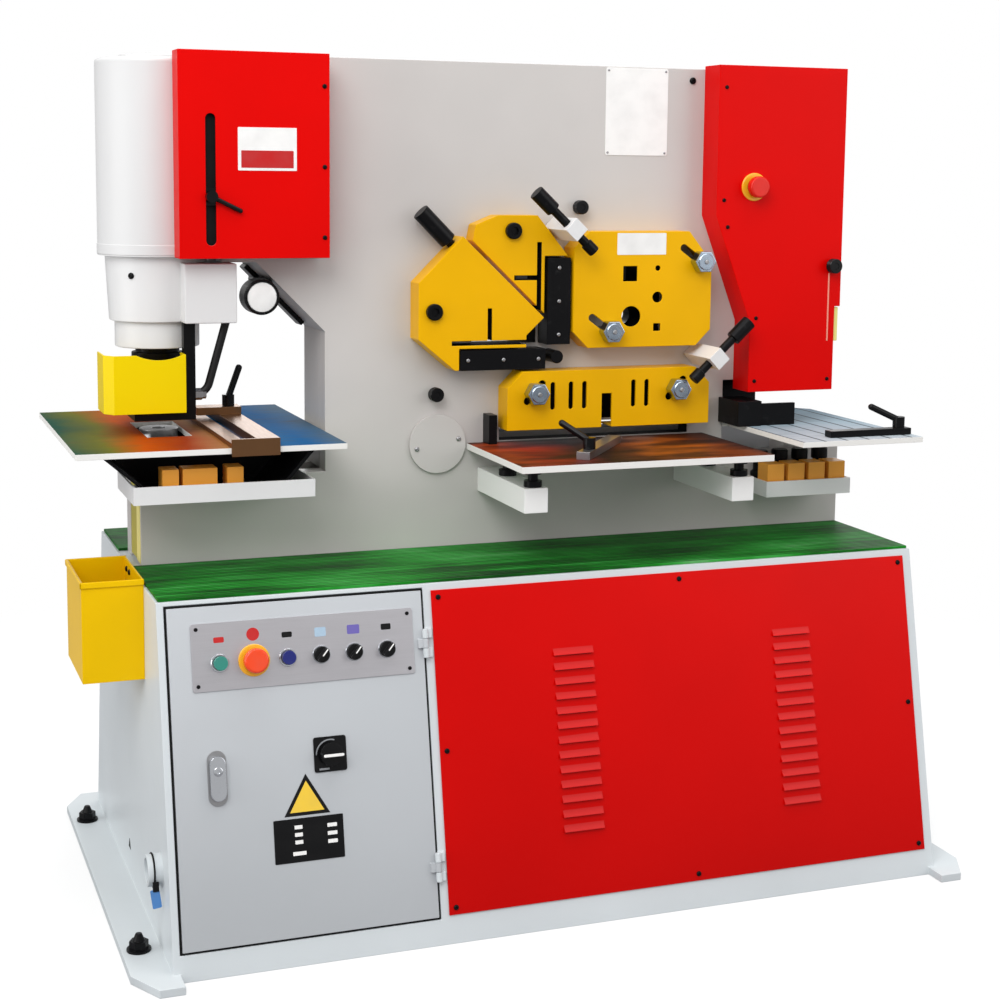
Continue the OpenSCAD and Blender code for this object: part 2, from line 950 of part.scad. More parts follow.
// Bottom of notch cover
ncov_z0 = 863; // [858:1:868]
// Top of notch cover
ncov_z1 = 1475; // [1470:1:1480]
// Front of notch cover
ncov_y = -102; // [-110:1:-96]
// Left side of cover's lower part
ncov_low_x = 461; // [452:1:466]
// Lower end of slanted side
ncov_k0 = 997; // [985:1:1010]
// Upper end of slanted side
ncov_k1 = 1197; // [1180:1:1210]
// Step in the cover's right side
ncov_step = 12; // [8:1:16]
// Height of that step
ncov_step_z = 1024; // [1010:1:1040]
// E-stop on cover in X
nstop_x = 462; // [455:1:470]
// E-stop on cover in Z
nstop_z = 1251; // [1240:1:1260]
// Left side of notch table
nt_x0 = 452; // [446:1:460]
// Right side of notch table
nt_x1 = 702; // [690:1:715]
// Front of notch table
nt_y0 = -332; // [-345:1:-320]
// Back of notch table
nt_y1 = 112; // [90:1:120]
// Rear corner cut of notch table
nt_c = 36; // [20:1:50]
// Top of notch table
nt_z = 800; // [796:1:804]
// Gauge of notch table
nt_t = 10; // [8:0.5:14]
// Left end of notch table's legs
nt_leg_x0 = 600; // [590:1:620]
// Right end of notch table's legs
nt_leg_x1 = 690; // [660:1:698]
// Gap around notch die
nt_gap = 1; // [0.5:0.5:3]
// Left side of notch guard
ng_x0 = 431; // [426:1:436]
// Right side of notch guard
ng_x1 = 481; // [474:1:488]
// Front of notch guard
ng_y0 = -122; // [-130:1:-118]
// Height of notch guard
ng_h = 48; // [40:1:54]
// Right end of notch guard's wing
ng_wing_x = 556; // [540:1:570]
// Front of wing
ng_wing_y = -116; // [-117:1:-108]
// Gauge of wing
ng_wing_t = 8; // [6:1:12]
// Gauge of notch guard
ng_t = 6; // [4:0.5:8]
// Left end of stop bar
bar_x0 = 527; // [515:1:535]
// Right end of stop bar
bar_x1 = 697; // [680:1:700]
// Front of stop bar
bar_y = -300; // [-306:1:-280]
// Depth of stop bar
bar_d = 22; // [16:1:30]
// Height of stop bar
bar_h = 12; // [10:0.5:16]
// Clamp lever on stop bar in X
bar_lever_x = 676; // [660:1:684]

/* [Hidden] */
$fn = 64;
black = [0.05, 0.05, 0.06];
white = [0.93, 0.93, 0.92];
pale = [0.82, 0.82, 0.82];
steel = [0.55, 0.55, 0.56];
red = [0.86, 0.03, 0.03];
yellow = [0.95, 0.75, 0.03];
lean = atan((base_bot_d - base_top_d) / 2 / base_h);
skin = sheet_t / cos(lean);
mid_y = body_y + plate_t + plate_gap / 2;
gap_y0 = body_y + plate_t;
gap_y1 = gap_y0 + plate_gap;
rear_y = gap_y1 + plate_t;
door_x0 = door_end - base_l / 2;
row_x0 = door_x0 + row_in;
row_pitch = (door_x1 - row_out - row_x0) / 5;
lock_x = door_x0 + lock_in;
main_x = door_x0 + main_in;
panel_x1 = base_l / 2 - panel_end;
bin_z0 = base_h - bin_drop;
hinge_x = door_x1 + door_gap / 2;
hinge_w = door_t + hinge_r + hinge_rise;
ram_x = (ram_win_x0 + ram_win_x1) / 2;
throat_a = atan2(throat_top - throat_z, throat_x - throat_tx);
guard_back = body_y - slide_gap;
shear_z = st_z - st_t;
die_z = pt_z - die_t;
post_z1 = guide_z;
sa_mid = (la_high_z - la_x0 + la_peak_x);

// Box from low to high corner
module box(x0, x1, y0, y1, z0, z1) {
  translate([x0, y0, z0]) cube([x1 - x0, y1 - y0, z1 - z0]);
}

// Profile drawn in X and Z, carried along Y
module along_y(y0, y1) {
  translate([0, y1, 0]) rotate([90, 0, 0]) linear_extrude(y1 - y0) children();
}

// Profile drawn in Y and Z, carried along X
module along_x(x0, x1) {
  translate([x0, 0, 0]) rotate([90, 0, 90]) linear_extrude(x1 - x0) children();
}

// Round bar along Y
module rod_y(x, z, r, y0, y1) {
  translate([x, y0, z]) rotate([-90, 0, 0]) cylinder(h = y1 - y0, r = r);
}

// Round bar along Z
module rod_z(x, y, r, z0, z1) {
  translate([x, y, z0]) cylinder(h = z1 - z0, r = r);
}

// Moves a piece drawn flat onto the sloping front of the base
module on_front() {
  translate([0, -base_bot_d / 2, 0]) rotate([90 - lean, 0, 0]) children();
}

// Slot with round ends
module slot(l, w, a) {
  rotate(a) {
    translate([0, -w / 2]) square([l, w]);
    circle(d = w);
    translate([l, 0]) circle(d = w);
  }
}

// Corners of a profile moved inward
function inset(p, c, t) = [
  for (q = p) [q[0] + (q[0] < c[0] ? t : -t), q[1] + (q[1] < c[1] ? t : -t)]
];

// Half depth of the base at a height
function half_d(z) = base_bot_d / 2 - (base_bot_d - base_top_d) / 2 * z / base_h;

// Cross-section of the base between two heights
module base_section(z0, z1, less) {
  polygon([
    [-half_d(z0) + less, z0], [half_d(z0) - less, z0],
    [half_d(z1) - less, z1], [-half_d(z1) + less, z1]
  ]);
}

module foot_plate() {
  out = base_l / 2 + foot_out;
  difference() {
    linear_extrude(foot_t) polygon([
      [base_l / 2 - end_t, -foot_d / 2], [out - foot_cx, -foot_d / 2],
      [out, -foot_d / 2 + foot_cy], [out, foot_d / 2 - foot_cy],
      [out - foot_cx, foot_d / 2], [base_l / 2 - end_t, foot_d / 2]
    ]);
    for (s = [-1, 1]) rod_z(base_l / 2 + foot_bolt_out, s * foot_bolt_y, foot_hole_r, -1, foot_t + 1);
  }
}

// Fixed half of a hinge: two knuckles, their leaves and the pin
module hinge_fixed(v) {
  part = (hinge_len - hinge_mid) / 2;
  for (s = [-1, 1]) {
    low = s < 0 ? v - hinge_len / 2 : v + hinge_mid / 2;
    translate([hinge_x, low, hinge_w]) rotate([-90, 0, 0]) cylinder(h = part, r = hinge_r);
    box(hinge_x, hinge_x + hinge_leaf, low, low + part, -1, hinge_leaf_t);
  }
  translate([hinge_x, v - hinge_len / 2, hinge_w]) rotate([-90, 0, 0])
    cylinder(h = hinge_len, r = hinge_pin_r);
}

// Welded base: end plates, sheets, deck, floor, inner wall, feet and lifting tubes
module base_frame() {
  color(pale) {
    difference() {
      along_x(-base_l / 2, base_l / 2) base_section(0, base_h, 0);
      along_x(-base_l / 2 + end_t, divider_x - divider_t / 2)
        base_section(floor_t, base_h - deck_t, skin);
      along_x(divider_x + divider_t / 2, base_l / 2 - end_t)
        base_section(floor_t, base_h - deck_t, skin);
      on_front() box(door_x0 - door_gap, door_x1 + door_gap, door_v0 - door_gap, door_v1 + door_gap,
        -2 * sheet_t, sheet_t);
      on_front() box(panel_x0 + panel_lap, panel_x1 - panel_lap, panel_v0 + panel_lap,
        panel_v1 - panel_lap, -2 * sheet_t, sheet_t);
    }
    on_front() {
      hinge_fixed(hinge_v0);
      hinge_fixed(hinge_v1);
    }
    foot_plate();
    mirror([1, 0, 0]) foot_plate();
    for (s = [0, 1]) mirror([s, 0, 0]) difference() {
      translate([base_l / 2 - end_t / 2, lift_y, lift_z]) rotate([0, 90, 0])
        cylinder(h = lift_out + end_t / 2, r = lift_r);
      translate([base_l / 2, lift_y, lift_z]) rotate([0, 90, 0])
        cylinder(h = lift_out + 1, r = lift_bore_r);
    }
  }
}

// Bolts through the foot plates, with washers and nuts
module foot_bolts() {
  color(black) for (sx = [-1, 1], sy = [-1, 1])
    translate([sx * (base_l / 2 + foot_bolt_out), sy * foot_bolt_y, 0]) {
    cylinder(h = foot_t + washer_t, r = shank_r);
    translate([0, 0, foot_t]) cylinder(h = washer_t, r = washer_r);
    translate([0, 0, foot_t + washer_t]) cylinder(h = nut_h, r = nut_r, $fn = 6);
    translate([0, 0, foot_t + washer_t + nut_h])
      cylinder(h = shank_up, r1 = shank_r, r2 = shank_r / 2);
  }
}

// Oil tank with the pump motor and valve block on its lid
module power_pack() {
  color([0.3, 0.34, 0.4]) {
    box(tank_x0, tank_x1, -tank_d / 2, tank_d / 2, floor_t, floor_t + tank_h);
    rod_z(motor_x, 0, motor_r, floor_t + tank_h, floor_t + tank_h + motor_h);
    box(valve_x - valve_w / 2, valve_x + valve_w / 2, -valve_w / 2, valve_w / 2,
      floor_t + tank_h, floor_t + tank_h + valve_w);
  }
}

// Plate with two rows of contactors on the inner wall
module switchgear() {
  face = divider_x - divider_t / 2;
  color(pale) {
    box(face - gear_t, face, -gear_d / 2, gear_d / 2, gear_z, gear_z + gear_h);
    for (row = [0, 1], i = [0 : relay_n - 1])
      translate([face - gear_t - relay_w, -gear_d / 2 + (i + 0.5) * gear_d / relay_n - relay_w / 2,
      gear_z + (row + 0.5) * gear_h / 2 - relay_w / 2])
      cube(relay_w);
  }
}

// One hood of a louvre, drawn flat
module hood(x, v) {
  translate([x - louvre_w / 2, 0, 0]) rotate([90, 0, 90]) linear_extrude(louvre_w)
    polygon([[v, panel_t / 2], [v, panel_t + hood_d], [v + hood_h, panel_t / 2]]);
}

// Panel with two columns of pressed louvres
module louvre_panel() {
  color(red) on_front() difference() {
    union() {
      box(panel_x0, panel_x1, panel_v0, panel_v1, 0, panel_t);
      for (x = [louvre_xa, louvre_xb], i = [0 : louvre_n - 1])
        hood(x, louvre_v0 + i * louvre_pitch);
    }
    for (x = [louvre_xa, louvre_xb], i = [0 : louvre_n - 1])
      translate([x - louvre_w / 2 + panel_t, 0, 0]) rotate([90, 0, 90])
      linear_extrude(louvre_w - 2 * panel_t) polygon([
      [louvre_v0 + i * louvre_pitch - 1, -1],
      [louvre_v0 + i * louvre_pitch - 1, slit_h],
      [louvre_v0 + i * louvre_pitch + slit_h, -1]
    ]);
  }
}

// Two strips of mat on the deck, before and behind the frame
module mat() {
  x = base_l / 2 - mat_in;
  y = base_top_d / 2 - mat_in;
  color([0.1, 0.5, 0.2]) {
    box(-x, x, -y, body_y - mat_gap, base_h, base_h + mat_t);
    box(-x, x, rear_y + mat_gap, y, base_h, base_h + mat_t);
  }
}

// Open sheet bin on the left end plate
module bin() {
  x1 = -base_l / 2;
  color(yellow) difference() {
    box(x1 - bin_w, x1, bin_y0, bin_y1, bin_z0, bin_z0 + bin_h);
    box(x1 - bin_w + bin_t, x1 - bin_t, bin_y0 + bin_t, bin_y1 - bin_t, bin_z0 + bin_t,
      bin_z0 + bin_h + 1);
  }
}

// Outline shared by both frame plates
module frame_outline() {
  difference() {
    polygon([
      [body_x0, base_h], [body_x1, base_h], [body_x1, jaw_z], [notch_in, jaw_z],
      [notch_in, notch_z], [notch_x1, notch_z], [notch_x1, body_top], [upper_x, body_top],
      [upper_x, throat_top], [throat_tx, throat_top], [throat_x, throat_z], [throat_x, jaw_z],
      [body_x0, jaw_z]
    ]);
    translate([ang_x0, ang_z0]) square([ang_x1 - ang_x0, ang_z1 - ang_z0]);
    translate([sec_x0, sec_z0]) square([sec_x1 - sec_x0, sec_z1 - sec_z0]);
    translate([flat_x0, flat_z0]) square([flat_x1 - flat_x0, flat_z1 - flat_z0]);
    translate([ram_win_x0, ram_win_z0]) square([ram_win_x1 - ram_win_x0, ram_win_z1 - ram_win_z0]);
    translate([pivot_x, pivot_z]) circle(pivot_r);
  }
}

// Front frame plate
module front_plate() {
  color(pale) along_y(body_y, gap_y0) frame_outline();
}

// Rear frame plate with the bars welded between the plates
module rear_plate() {
  color(pale) {
    along_y(gap_y1, rear_y) frame_outline();
    box(body_x0 + seam_in, body_x1 - seam_in, gap_y0, gap_y1 + 1, base_h, base_h + seam_h);
    box(crown_x0, crown_x1, gap_y0, gap_y1 + 1, body_top - crown_h, body_top);
    along_y(gap_y0, gap_y1 + 1) polygon([
      [throat_x, jaw_z], [throat_x, throat_z], [throat_tx, throat_top],
      [throat_tx, rib_z0], [throat_tx + web_t, rib_z0 - web_t / 2],
      [throat_x + web_t, throat_z + web_t / 2], [throat_x + web_t, jaw_z]
    ]);
  }
}

// Pivot pin with its round cover
module pivot_pin() {
  color(pale) {
    rod_y(pivot_x, pivot_z, pivot_r, body_y, rear_y);
    rod_y(pivot_x, pivot_z, pivot_head_r, body_y - pivot_head_t, body_y);
  }
}

// Beam between the plates, with windows and a nose for the ram
module shear_beam() {
  y0 = gap_y0 + beam_gap;
  y1 = gap_y1 - beam_gap;
  color(steel) difference() {
    union() {
      rod_y(pivot_x, pivot_z, beam_boss_r, y0, y1);
      along_y(y0, y1) polygon([
        [beam_x0, pivot_z], [pivot_x + beam_boss_r, pivot_z],
        [pivot_x + beam_boss_r, beam_z0],
        [beam_x1, beam_z0], [beam_x1, beam_z1], [ua_x0, beam_z1], [beam_x0, ang_z0]
      ]);
      box(beam_x1 - 1, nose_x1, mid_y - nose_t / 2, mid_y + nose_t / 2, nose_z - nose_h / 2,
        nose_z + nose_h / 2);
    }
    rod_y(pivot_x, pivot_z, pivot_r + fit, y0 - 1, y1 + 1);
    box(ang_x0, ang_x1, y0 - 1, y1 + 1, ang_z0, ang_z1);
    box(sec_x0, sec_x1, y0 - 1, y1 + 1, sec_z0, sec_z1);
  }
}

// Cylinder that drives the beam and the notching ram
module shear_cylinder() {
  color(pale) difference() {
    union() {
      rod_z(ram_x, mid_y, scyl_r, ram_win_z0, ram_win_z0 + scyl_h);
      box(ram_win_x0 + nt_gap, ram_win_x1 - nt_gap, body_y, rear_y, ram_win_z0,
        ram_win_z0 + scyl_flange);
    }
    rod_z(ram_x, mid_y, rod_r + fit, ram_win_z0 - 1, ram_win_z0 + rod_in + scyl_flange);
  }
}

// Notching ram with its rod, a slot for the beam nose and the punch
module notch_ram() {
  y0 = gap_y0 + beam_gap;
  y1 = gap_y1 - beam_gap;
  color(steel) {
    difference() {
      box(ram_x - ram_w / 2, ram_x + ram_w / 2, y0, y1, ram_z0, ram_z1);
      box(ram_x - ram_w, ram_x + ram_w, mid_y - ram_slot_t / 2, mid_y + ram_slot_t / 2,
        nose_z - ram_slot_h / 2, nose_z + ram_slot_h / 2);
    }
    rod_z(ram_x, mid_y, rod_r, ram_z1 - 1, ram_win_z0 + rod_in);
    box(ram_x - npunch_w / 2, ram_x + npunch_w / 2, mid_y - npunch_d / 2, mid_y + npunch_d / 2,
      npunch_z, ram_z0 + 1);
  }
}

// Outline of the lower angle guard
module lower_outline() {
  polygon([
    [la_x0, la_low_z], [la_low_x, la_z0], [hb_x0 - bar_gap, la_z0], [hb_x0 - bar_gap, hb_z1 + bar_gap],
    [la_heel_x, hb_z1 + bar_gap], [la_heel_x, la_heel_z], [la_tip_x, la_tip_z],
    [la_peak_x + la_step, sa_mid - la_step], [la_peak_x, sa_mid], [la_x0, la_high_z]
  ]);
}

// Fixed guards of the angle shear, with the cuts for angle bars
module angle_guards() {
  color(yellow) {
    difference() {
      along_y(guard_y, body_y) lower_outline();
      box(lcut_x0, la_heel_x + 1, guard_y - 1, body_y + 1, lcut_z - cut_w / 2, lcut_z + cut_w / 2);
      box(lcut_up_x - cut_w / 2, lcut_up_x + cut_w / 2, guard_y - 1, body_y + 1, lcut_z,
        lcut_z + lcut_up);
      translate([la_peak_x - la_step, sa_y, sa_mid - la_step]) rotate([0, 135, 0])
        translate([0, 0, -la_step]) cylinder(h = sa_in + 2 * la_step, r = screw_r + fit);
    }
    difference() {
      along_y(guard_y + ua_back, body_y) polygon([
        [la_peak_x + la_step + ua_gap, sa_mid - la_step + ua_gap], [ua_x0, ua_z0],
        [ua_kx, ua_z1], [ua_x1, ua_z1], [vb_x1 - bar_gap, vb_z1 + bar_gap],
        [vb_x0 - bar_gap, vb_z1 + bar_gap], [vb_x0 - bar_gap, la_tip_z + ua_gap]
      ]);
      box(ucut_x - cut_w / 2, ucut_x + cut_w / 2, guard_y, body_y + 1, la_tip_z, ucut_z1);
      box(ucut_x - ucut_l, ucut_x, guard_y, body_y + 1, ucut_z - cut_w / 2, ucut_z + cut_w / 2);
    }
  }
}

// Black blade bars, the eye bolt and the end stop
module fixed_blades() {
  color(black) {
    box(vb_x0, vb_x1, blade_y, body_y, vb_z0, vb_z1);
    box(hb_x0, hb_x1, blade_y, body_y, hb_z0, hb_z1);
    rod_y(eye_x, eye_z, eye_r, blade_y, body_y);
    box(post_bx - post_bw / 2, post_bx + post_bw / 2, body_y - post_bd, body_y, st_z, st_z + post_bh);
  }
}

// Hexagonal clamping knobs on their studs
module guard_knobs() {
  color(pale) for (p = [[ka_x, ka_z], [kb_x, kb_z], [kc_x, kcd_z], [kd_x, kcd_z]]) {
    rod_y(p[0], p[1], stud_r, guard_y - 1, body_y);
    translate([p[0], guard_y - slide_gap, p[1]]) rotate([90, 0, 0])
      cylinder(h = knob_t, r = knob_r, $fn = 6);
  }
}

// Square blocks that carry two of the hold-down screws
module holddown_blocks() {
  places = [[up_block_x, up_block_z, hold_a], [low_block_x, low_block_z, -hold_a]];
  color(white) for (p = places) difference() {
    translate([p[0], 0, p[1]]) rotate([0, p[2], 0])
      box(-block_w / 2, block_w / 2, block_y, body_y, -block_w / 2, block_w / 2);
    translate([p[0], hold_y, p[1]]) rotate([0, p[2], 0]) translate([-block_w, 0, 0])
      rotate([0, 90, 0]) cylinder(h = 2 * block_w, r = screw_r + fit);
  }
}

// Hold-down screw along +X with its head behind and its foot ahead
module block_screw() {
  rotate([0, 90, 0]) {
    translate([0, 0, -block_w / 2 - neck_up - head_l]) cylinder(h = head_l, r = head_r);
    translate([0, 0, -block_w / 2 - neck_up - 1])
      cylinder(h = neck_up + block_w + neck_dn + 2, r = screw_r);
    translate([0, 0, block_w / 2 + neck_dn]) cylinder(h = tail_l, r = tail_r);
  }
}

// Hold-down screw in the lower angle guard
module screw_a() {
  color(black) translate([la_peak_x - la_step, sa_y, sa_mid - la_step])
    rotate([0, 135, 0]) {
    translate([0, 0, -sa_gap - sa_l]) cylinder(h = sa_l, r = sa_r);
    translate([0, 0, -sa_gap - 1]) cylinder(h = sa_gap + sa_in + 1, r = screw_r);
  }
}

// Hold-down screw in the upper block
module screw_b() {
  color(black) translate([up_block_x, hold_y, up_block_z]) rotate([0, hold_a, 0]) block_screw();
}

// Hold-down screw in the lower block
module screw_c() {
  color(black) translate([low_block_x, hold_y, low_block_z]) rotate([0, 180 - hold_a, 0])
    block_screw();
}

// Outline of the section guard
function sec_pts() = [
  [sg_x0 + sg_c, sg_z0], [sg_x1 - sg_c, sg_z0], [sg_x1, sg_z0 + sg_c], [sg_x1, sg_z1 - sg_cz],
  [sg_x1 - sg_cx, sg_z1], [sg_x0 + sg_c, sg_z1], [sg_x0, sg_z1 - sg_c], [sg_x0, sg_z0 + sg_c]
];

// Sliding guard of the section shear
module section_guard() {
  mid = [(sg_x0 + sg_x1) / 2, (sg_z0 + sg_z1) / 2];
  color(yellow) difference() {
    along_y(guard_y, guard_back) polygon(sec_pts());
    along_y(guard_y + guard_t, body_y + 1) polygon(inset(sec_pts(), mid, guard_rim));
    along_y(guard_y - 1, guard_y + guard_t + 1) {
      translate([hole_sq_x - hole_sq / 2, hole_sq_z - hole_sq / 2]) square(hole_sq);
      translate([hole_big_x, hole_big_z]) circle(hole_big_r);
      translate([hole_col_x, hole_mid_z]) circle(hole_mid_r);
      translate([hole_col_x, hole_top_z]) circle(hole_top_r);
      translate([hole_col_x - hole_low / 2, hole_low_z - hole_low / 2]) square(hole_low);
      translate([ka_x, ka_z]) slot(run_l, run_w, run_sec_a);
      translate([kb_x, kb_z]) slot(run_l, run_w, run_sec_a);
    }
  }
}

// Outline of the flat guard
function flat_pts() = [
  [fg_x0, fg_z0], [fg_x1, fg_z0], [fg_x1, fg_z1 - fg_c], [fg_x1 - fg_c, fg_z1],
  [fg_x0 + fg_c, fg_z1], [fg_x0, fg_z1 - fg_c]
];

// Sliding guard of the flat shear
module flat_guard() {
  mid = [(fg_x0 + fg_x1) / 2, (fg_z0 + fg_z1) / 2];
  step = (fg_mouth_x - kc_x) / 4;
  color(yellow) difference() {
    along_y(guard_y, guard_back) polygon(flat_pts());
    along_y(guard_y + guard_t, body_y + 1) polygon(inset(flat_pts(), mid, guard_rim));
    along_y(guard_y - 1, guard_back + 1) translate([fg_mouth_x - fg_mouth_w / 2, fg_z0 - 1])
      square([fg_mouth_w, fg_mouth_h]);
    along_y(guard_y - 1, guard_y + guard_t + 1) {
      for (x = [kc_x + step, kc_x + 2 * step, kc_x + 3 * step - fg_slot_w,
        fg_mouth_x + 1.5 * step, fg_mouth_x + 2.5 * step - fg_slot_w])
        translate([x, fg_slot_z + fg_slot_w / 2]) slot(fg_slot_h, fg_slot_w, 90);
      for (x = [kc_x, kd_x])
        translate([x - run_flat_back * cos(run_flat_a), kcd_z - run_flat_back * sin(run_flat_a)])
        slot(run_l, run_w, run_flat_a);
    }
  }
}

// Punch cylinder with its rounded top and the rib between the plates
module punch_cylinder() {
  color(white) difference() {
    union() {
      translate([punch_x, mid_y, pcyl_z0]) rotate_extrude() union() {
        square([pcyl_r, pcyl_z1 - pcyl_z0 - pcyl_rim]);
        square([pcyl_r - pcyl_rim, pcyl_z1 - pcyl_z0]);
        translate([pcyl_r - pcyl_rim, pcyl_z1 - pcyl_z0 - pcyl_rim]) intersection() {
          circle(pcyl_rim);
          square(pcyl_rim);
        }
      }
      box(punch_x, rib_x1, gap_y0, gap_y1, rib_z0, rib_z1);
    }
    rod_z(punch_x, mid_y, pram_r + fit, pcyl_z0 - 1, pram_bore_z);
  }
}

// Ram guide under the cylinder with its collar and square housing
module punch_guide() {
  color(white) difference() {
    union() {
      translate([punch_x, mid_y, guide_z])
        cylinder(h = pcyl_z0 - guide_z, r1 = guide_r1, r2 = guide_r2);
      rod_z(punch_x, mid_y, neck_r, neck_z, guide_z + 1);
      box(gblock_x0, gblock_x1, gblock_y, 2 * mid_y - gblock_y, guide_z, throat_top);
    }
    rod_z(punch_x, mid_y, pram_r + fit, neck_z - 1, pcyl_z0 + 1);
  }
}

// Ram with the nut that clamps the punch
module punch_ram() {
  color(steel) {
    rod_z(punch_x, mid_y, pram_r, pnut_z1 - 1, pram_z1);
    rod_z(punch_x, mid_y, pnut_r, pnut_z0, pnut_z1);
  }
}

// Round punch held under the nut
module punch() {
  color(steel) {
    rod_z(punch_x, mid_y, punch_r, tip_z0 + tip_l, pnut_z0);
    rod_z(punch_x, mid_y, tip_r, tip_z0, tip_z0 + tip_l);
  }
}

// Die in its holder on the lower jaw
module die_block() {
  color(steel) difference() {
    union() {
      box(punch_x - hold_w / 2, punch_x + hold_w / 2, mid_y - hold_w / 2, mid_y + hold_w / 2,
        jaw_z, die_z);
      rod_z(punch_x, mid_y, die_r, die_z, pt_z);
    }
    rod_z(punch_x, mid_y, tip_r + die_clear, die_z, pt_z + 1);
    rod_z(punch_x, mid_y, slug_r, jaw_z - 1, die_z + die_t / 2);
  }
}

// Cover beside the punch cylinder with the stroke slot
module punch_cover() {
  color(red) difference() {
    box(pcov_x0, pcov_x1, pcov_y, body_y, pcov_z0, pcov_z1);
    box(pcov_x0 + cover_t, pcov_x1 - cover_t, pcov_y + cover_t, body_y + 1, pcov_z0 + cover_t,
      pcov_z1 - cover_t);
    rod_z(punch_x, mid_y, pcyl_r + pcov_gap, pcov_z0 - 1, pcov_z1 + 1);
    along_y(pcov_y - 1, pcov_y + cover_t + 1) translate([stroke_x, stroke_z0 + stroke_w / 2])
      slot(stroke_z1 - stroke_z0 - stroke_w, stroke_w, 90);
  }
}

// Stroke handle that slides in the cover's slot
module stroke_lever() {
  color(black) {
    rod_y(stroke_x, stroke_z, stroke_hub_r, pcov_y - slide_gap - stroke_hub_t, pcov_y - slide_gap);
    rod_y(stroke_x, stroke_z, stroke_stem / 2, pcov_y - slide_gap - 1, pcov_y + cover_t + slide_gap + 1);
    box(stroke_x - stroke_back / 2, stroke_x + stroke_back / 2, pcov_y + cover_t + slide_gap,
      pcov_y + cover_t + slide_gap + stroke_hub_t / 2, stroke_z - stroke_back / 2,
      stroke_z + stroke_back / 2);
    translate([stroke_x, pcov_y - slide_gap - stroke_hub_t / 2, stroke_z])
      rotate([0, 90 - stroke_arm_a, 0]) {
      cylinder(h = stroke_arm, r = stroke_arm_r);
      translate([0, 0, stroke_arm]) sphere(stroke_arm_r, $fn = 32);
    }
  }
}

// Stripper foot on two posts under the guide's housing
module stripper() {
  color(black) difference() {
    union() {
      box(strip_x0, post_x + post_w, mid_y - post_off - post_w / 2, mid_y + post_off + post_w / 2,
        strip_z0, strip_z0 + strip_t);
      for (s = [-1, 1]) box(post_x, post_x + post_w, mid_y + s * post_off - post_w / 2,
        mid_y + s * post_off + post_w / 2, strip_z0, post_z1);
    }
    rod_z(punch_x, mid_y, strip_hole_r, strip_z0 - 1, strip_z0 + strip_t + 1);
  }
}

// Folded guard around the punch
module stripper_guard() {
  y1 = mid_y - post_off + post_w / 2;
  z0 = strip_z0 + strip_t;
  fold = pg_t / 2;
  color(yellow) difference() {
    translate([0, 0, z0]) linear_extrude(pg_h) polygon([
      [post_x, y1], [post_x, pg_y0], [pg_kx, pg_y0], [pg_x0, pg_ky], [pg_x0, pg_y1],
      [pg_x0 + pg_t, pg_y1], [pg_x0 + pg_t, pg_ky + fold], [pg_kx + fold, pg_y0 + pg_t],
      [post_x - pg_t, pg_y0 + pg_t], [post_x - pg_t, y1]
    ]);
    rod_y((pg_kx + post_x) / 2 + pg_h / 6, z0 + pg_h + pg_dip_r - pg_dip, pg_dip_r, pg_y0 - 1,
      pg_y0 + pg_t + 1);
  }
}

// Hose from the housing to the stripper post
module hose() {
  x1 = post_x + post_w;
  y = mid_y - post_off;
  color(black) {
    translate([x1, y, hose_z + hose_bend]) rotate([90, 0, 0]) rotate([0, 0, -90])
      rotate_extrude(angle = hose_a) translate([hose_bend, 0]) circle(hose_r, $fn = 32);
    difference() {
      translate([x1 + hose_bend * sin(hose_a), y, hose_z + hose_bend * (1 - cos(hose_a))])
        rotate([0, 90 - hose_a, 0]) cylinder(h = guide_z - hose_z, r = hose_r);
      box(x1, x1 + guide_z, y - 2 * hose_r, y + 2 * hose_r, guide_z, 2 * guide_z);
    }
  }
}

// Work lamp on its bar under the throat's slope
module lamp() {
  c = [(throat_x + throat_tx) / 2, (throat_z + throat_top) / 2];
  color(black) translate([c[0], 0, c[1]]) rotate([0, throat_a, 0]) {
    box(-lamp_bar_l / 2, lamp_bar_l / 2, gap_y1, rear_y, -lamp_bar_t, 0);
    rod_y(-lamp_s, 1 - lamp_bar_t - lamp_r, lamp_r, lamp_y, lamp_y + lamp_t);
    rod_y(-lamp_s, -1 - lamp_arm_r, lamp_arm_r, lamp_y + lamp_t - 1, rear_y);
  }
}

// Punch table with a cut-out around the die
module punch_table() {
  cut = die_r + pt_gap;
  color(steel) difference() {
    box(pt_x0, pt_x1, pt_y0, pt_y1, pt_z - pt_t, pt_z);
    box(punch_x - cut, punch_x + cut, pt_cut_y0, pt_cut_y1, pt_z - pt_t - 1, pt_z + 1);
  }
}

// Scale bar and gauge channel on the punch table
module punch_rails() {
  color(steel) {
    box(rail_x - rail_w / 2, rail_x + rail_w / 2, pt_y0 - 1, pt_y0 + rail_l, pt_z, pt_z + rail_t);
    box(chan_x - chan_w / 2, chan_x + chan_w / 2, pt_y0 - 1, pt_y0 + rail_l, pt_z, pt_z + chan_t);
    box(rail_x - rail_w / 2, chan_x + chan_w / 2, pt_y0 - rail_end_t, pt_y0, pt_z - rail_drop,
      pt_z + chan_t);
    difference() {
      box(rail_x - rail_w / 2, chan_x + chan_w / 2, shoe_y, shoe_y + shoe_l, pt_z + chan_t,
        pt_z + chan_t + shoe_h);
      rod_z(chan_x, shoe_y + shoe_l / 2, lever_stud_r + fit, pt_z + chan_t + shoe_h - lever_stud_l - 1,
        pt_z + chan_t + shoe_h + 1);
    }
  }
}

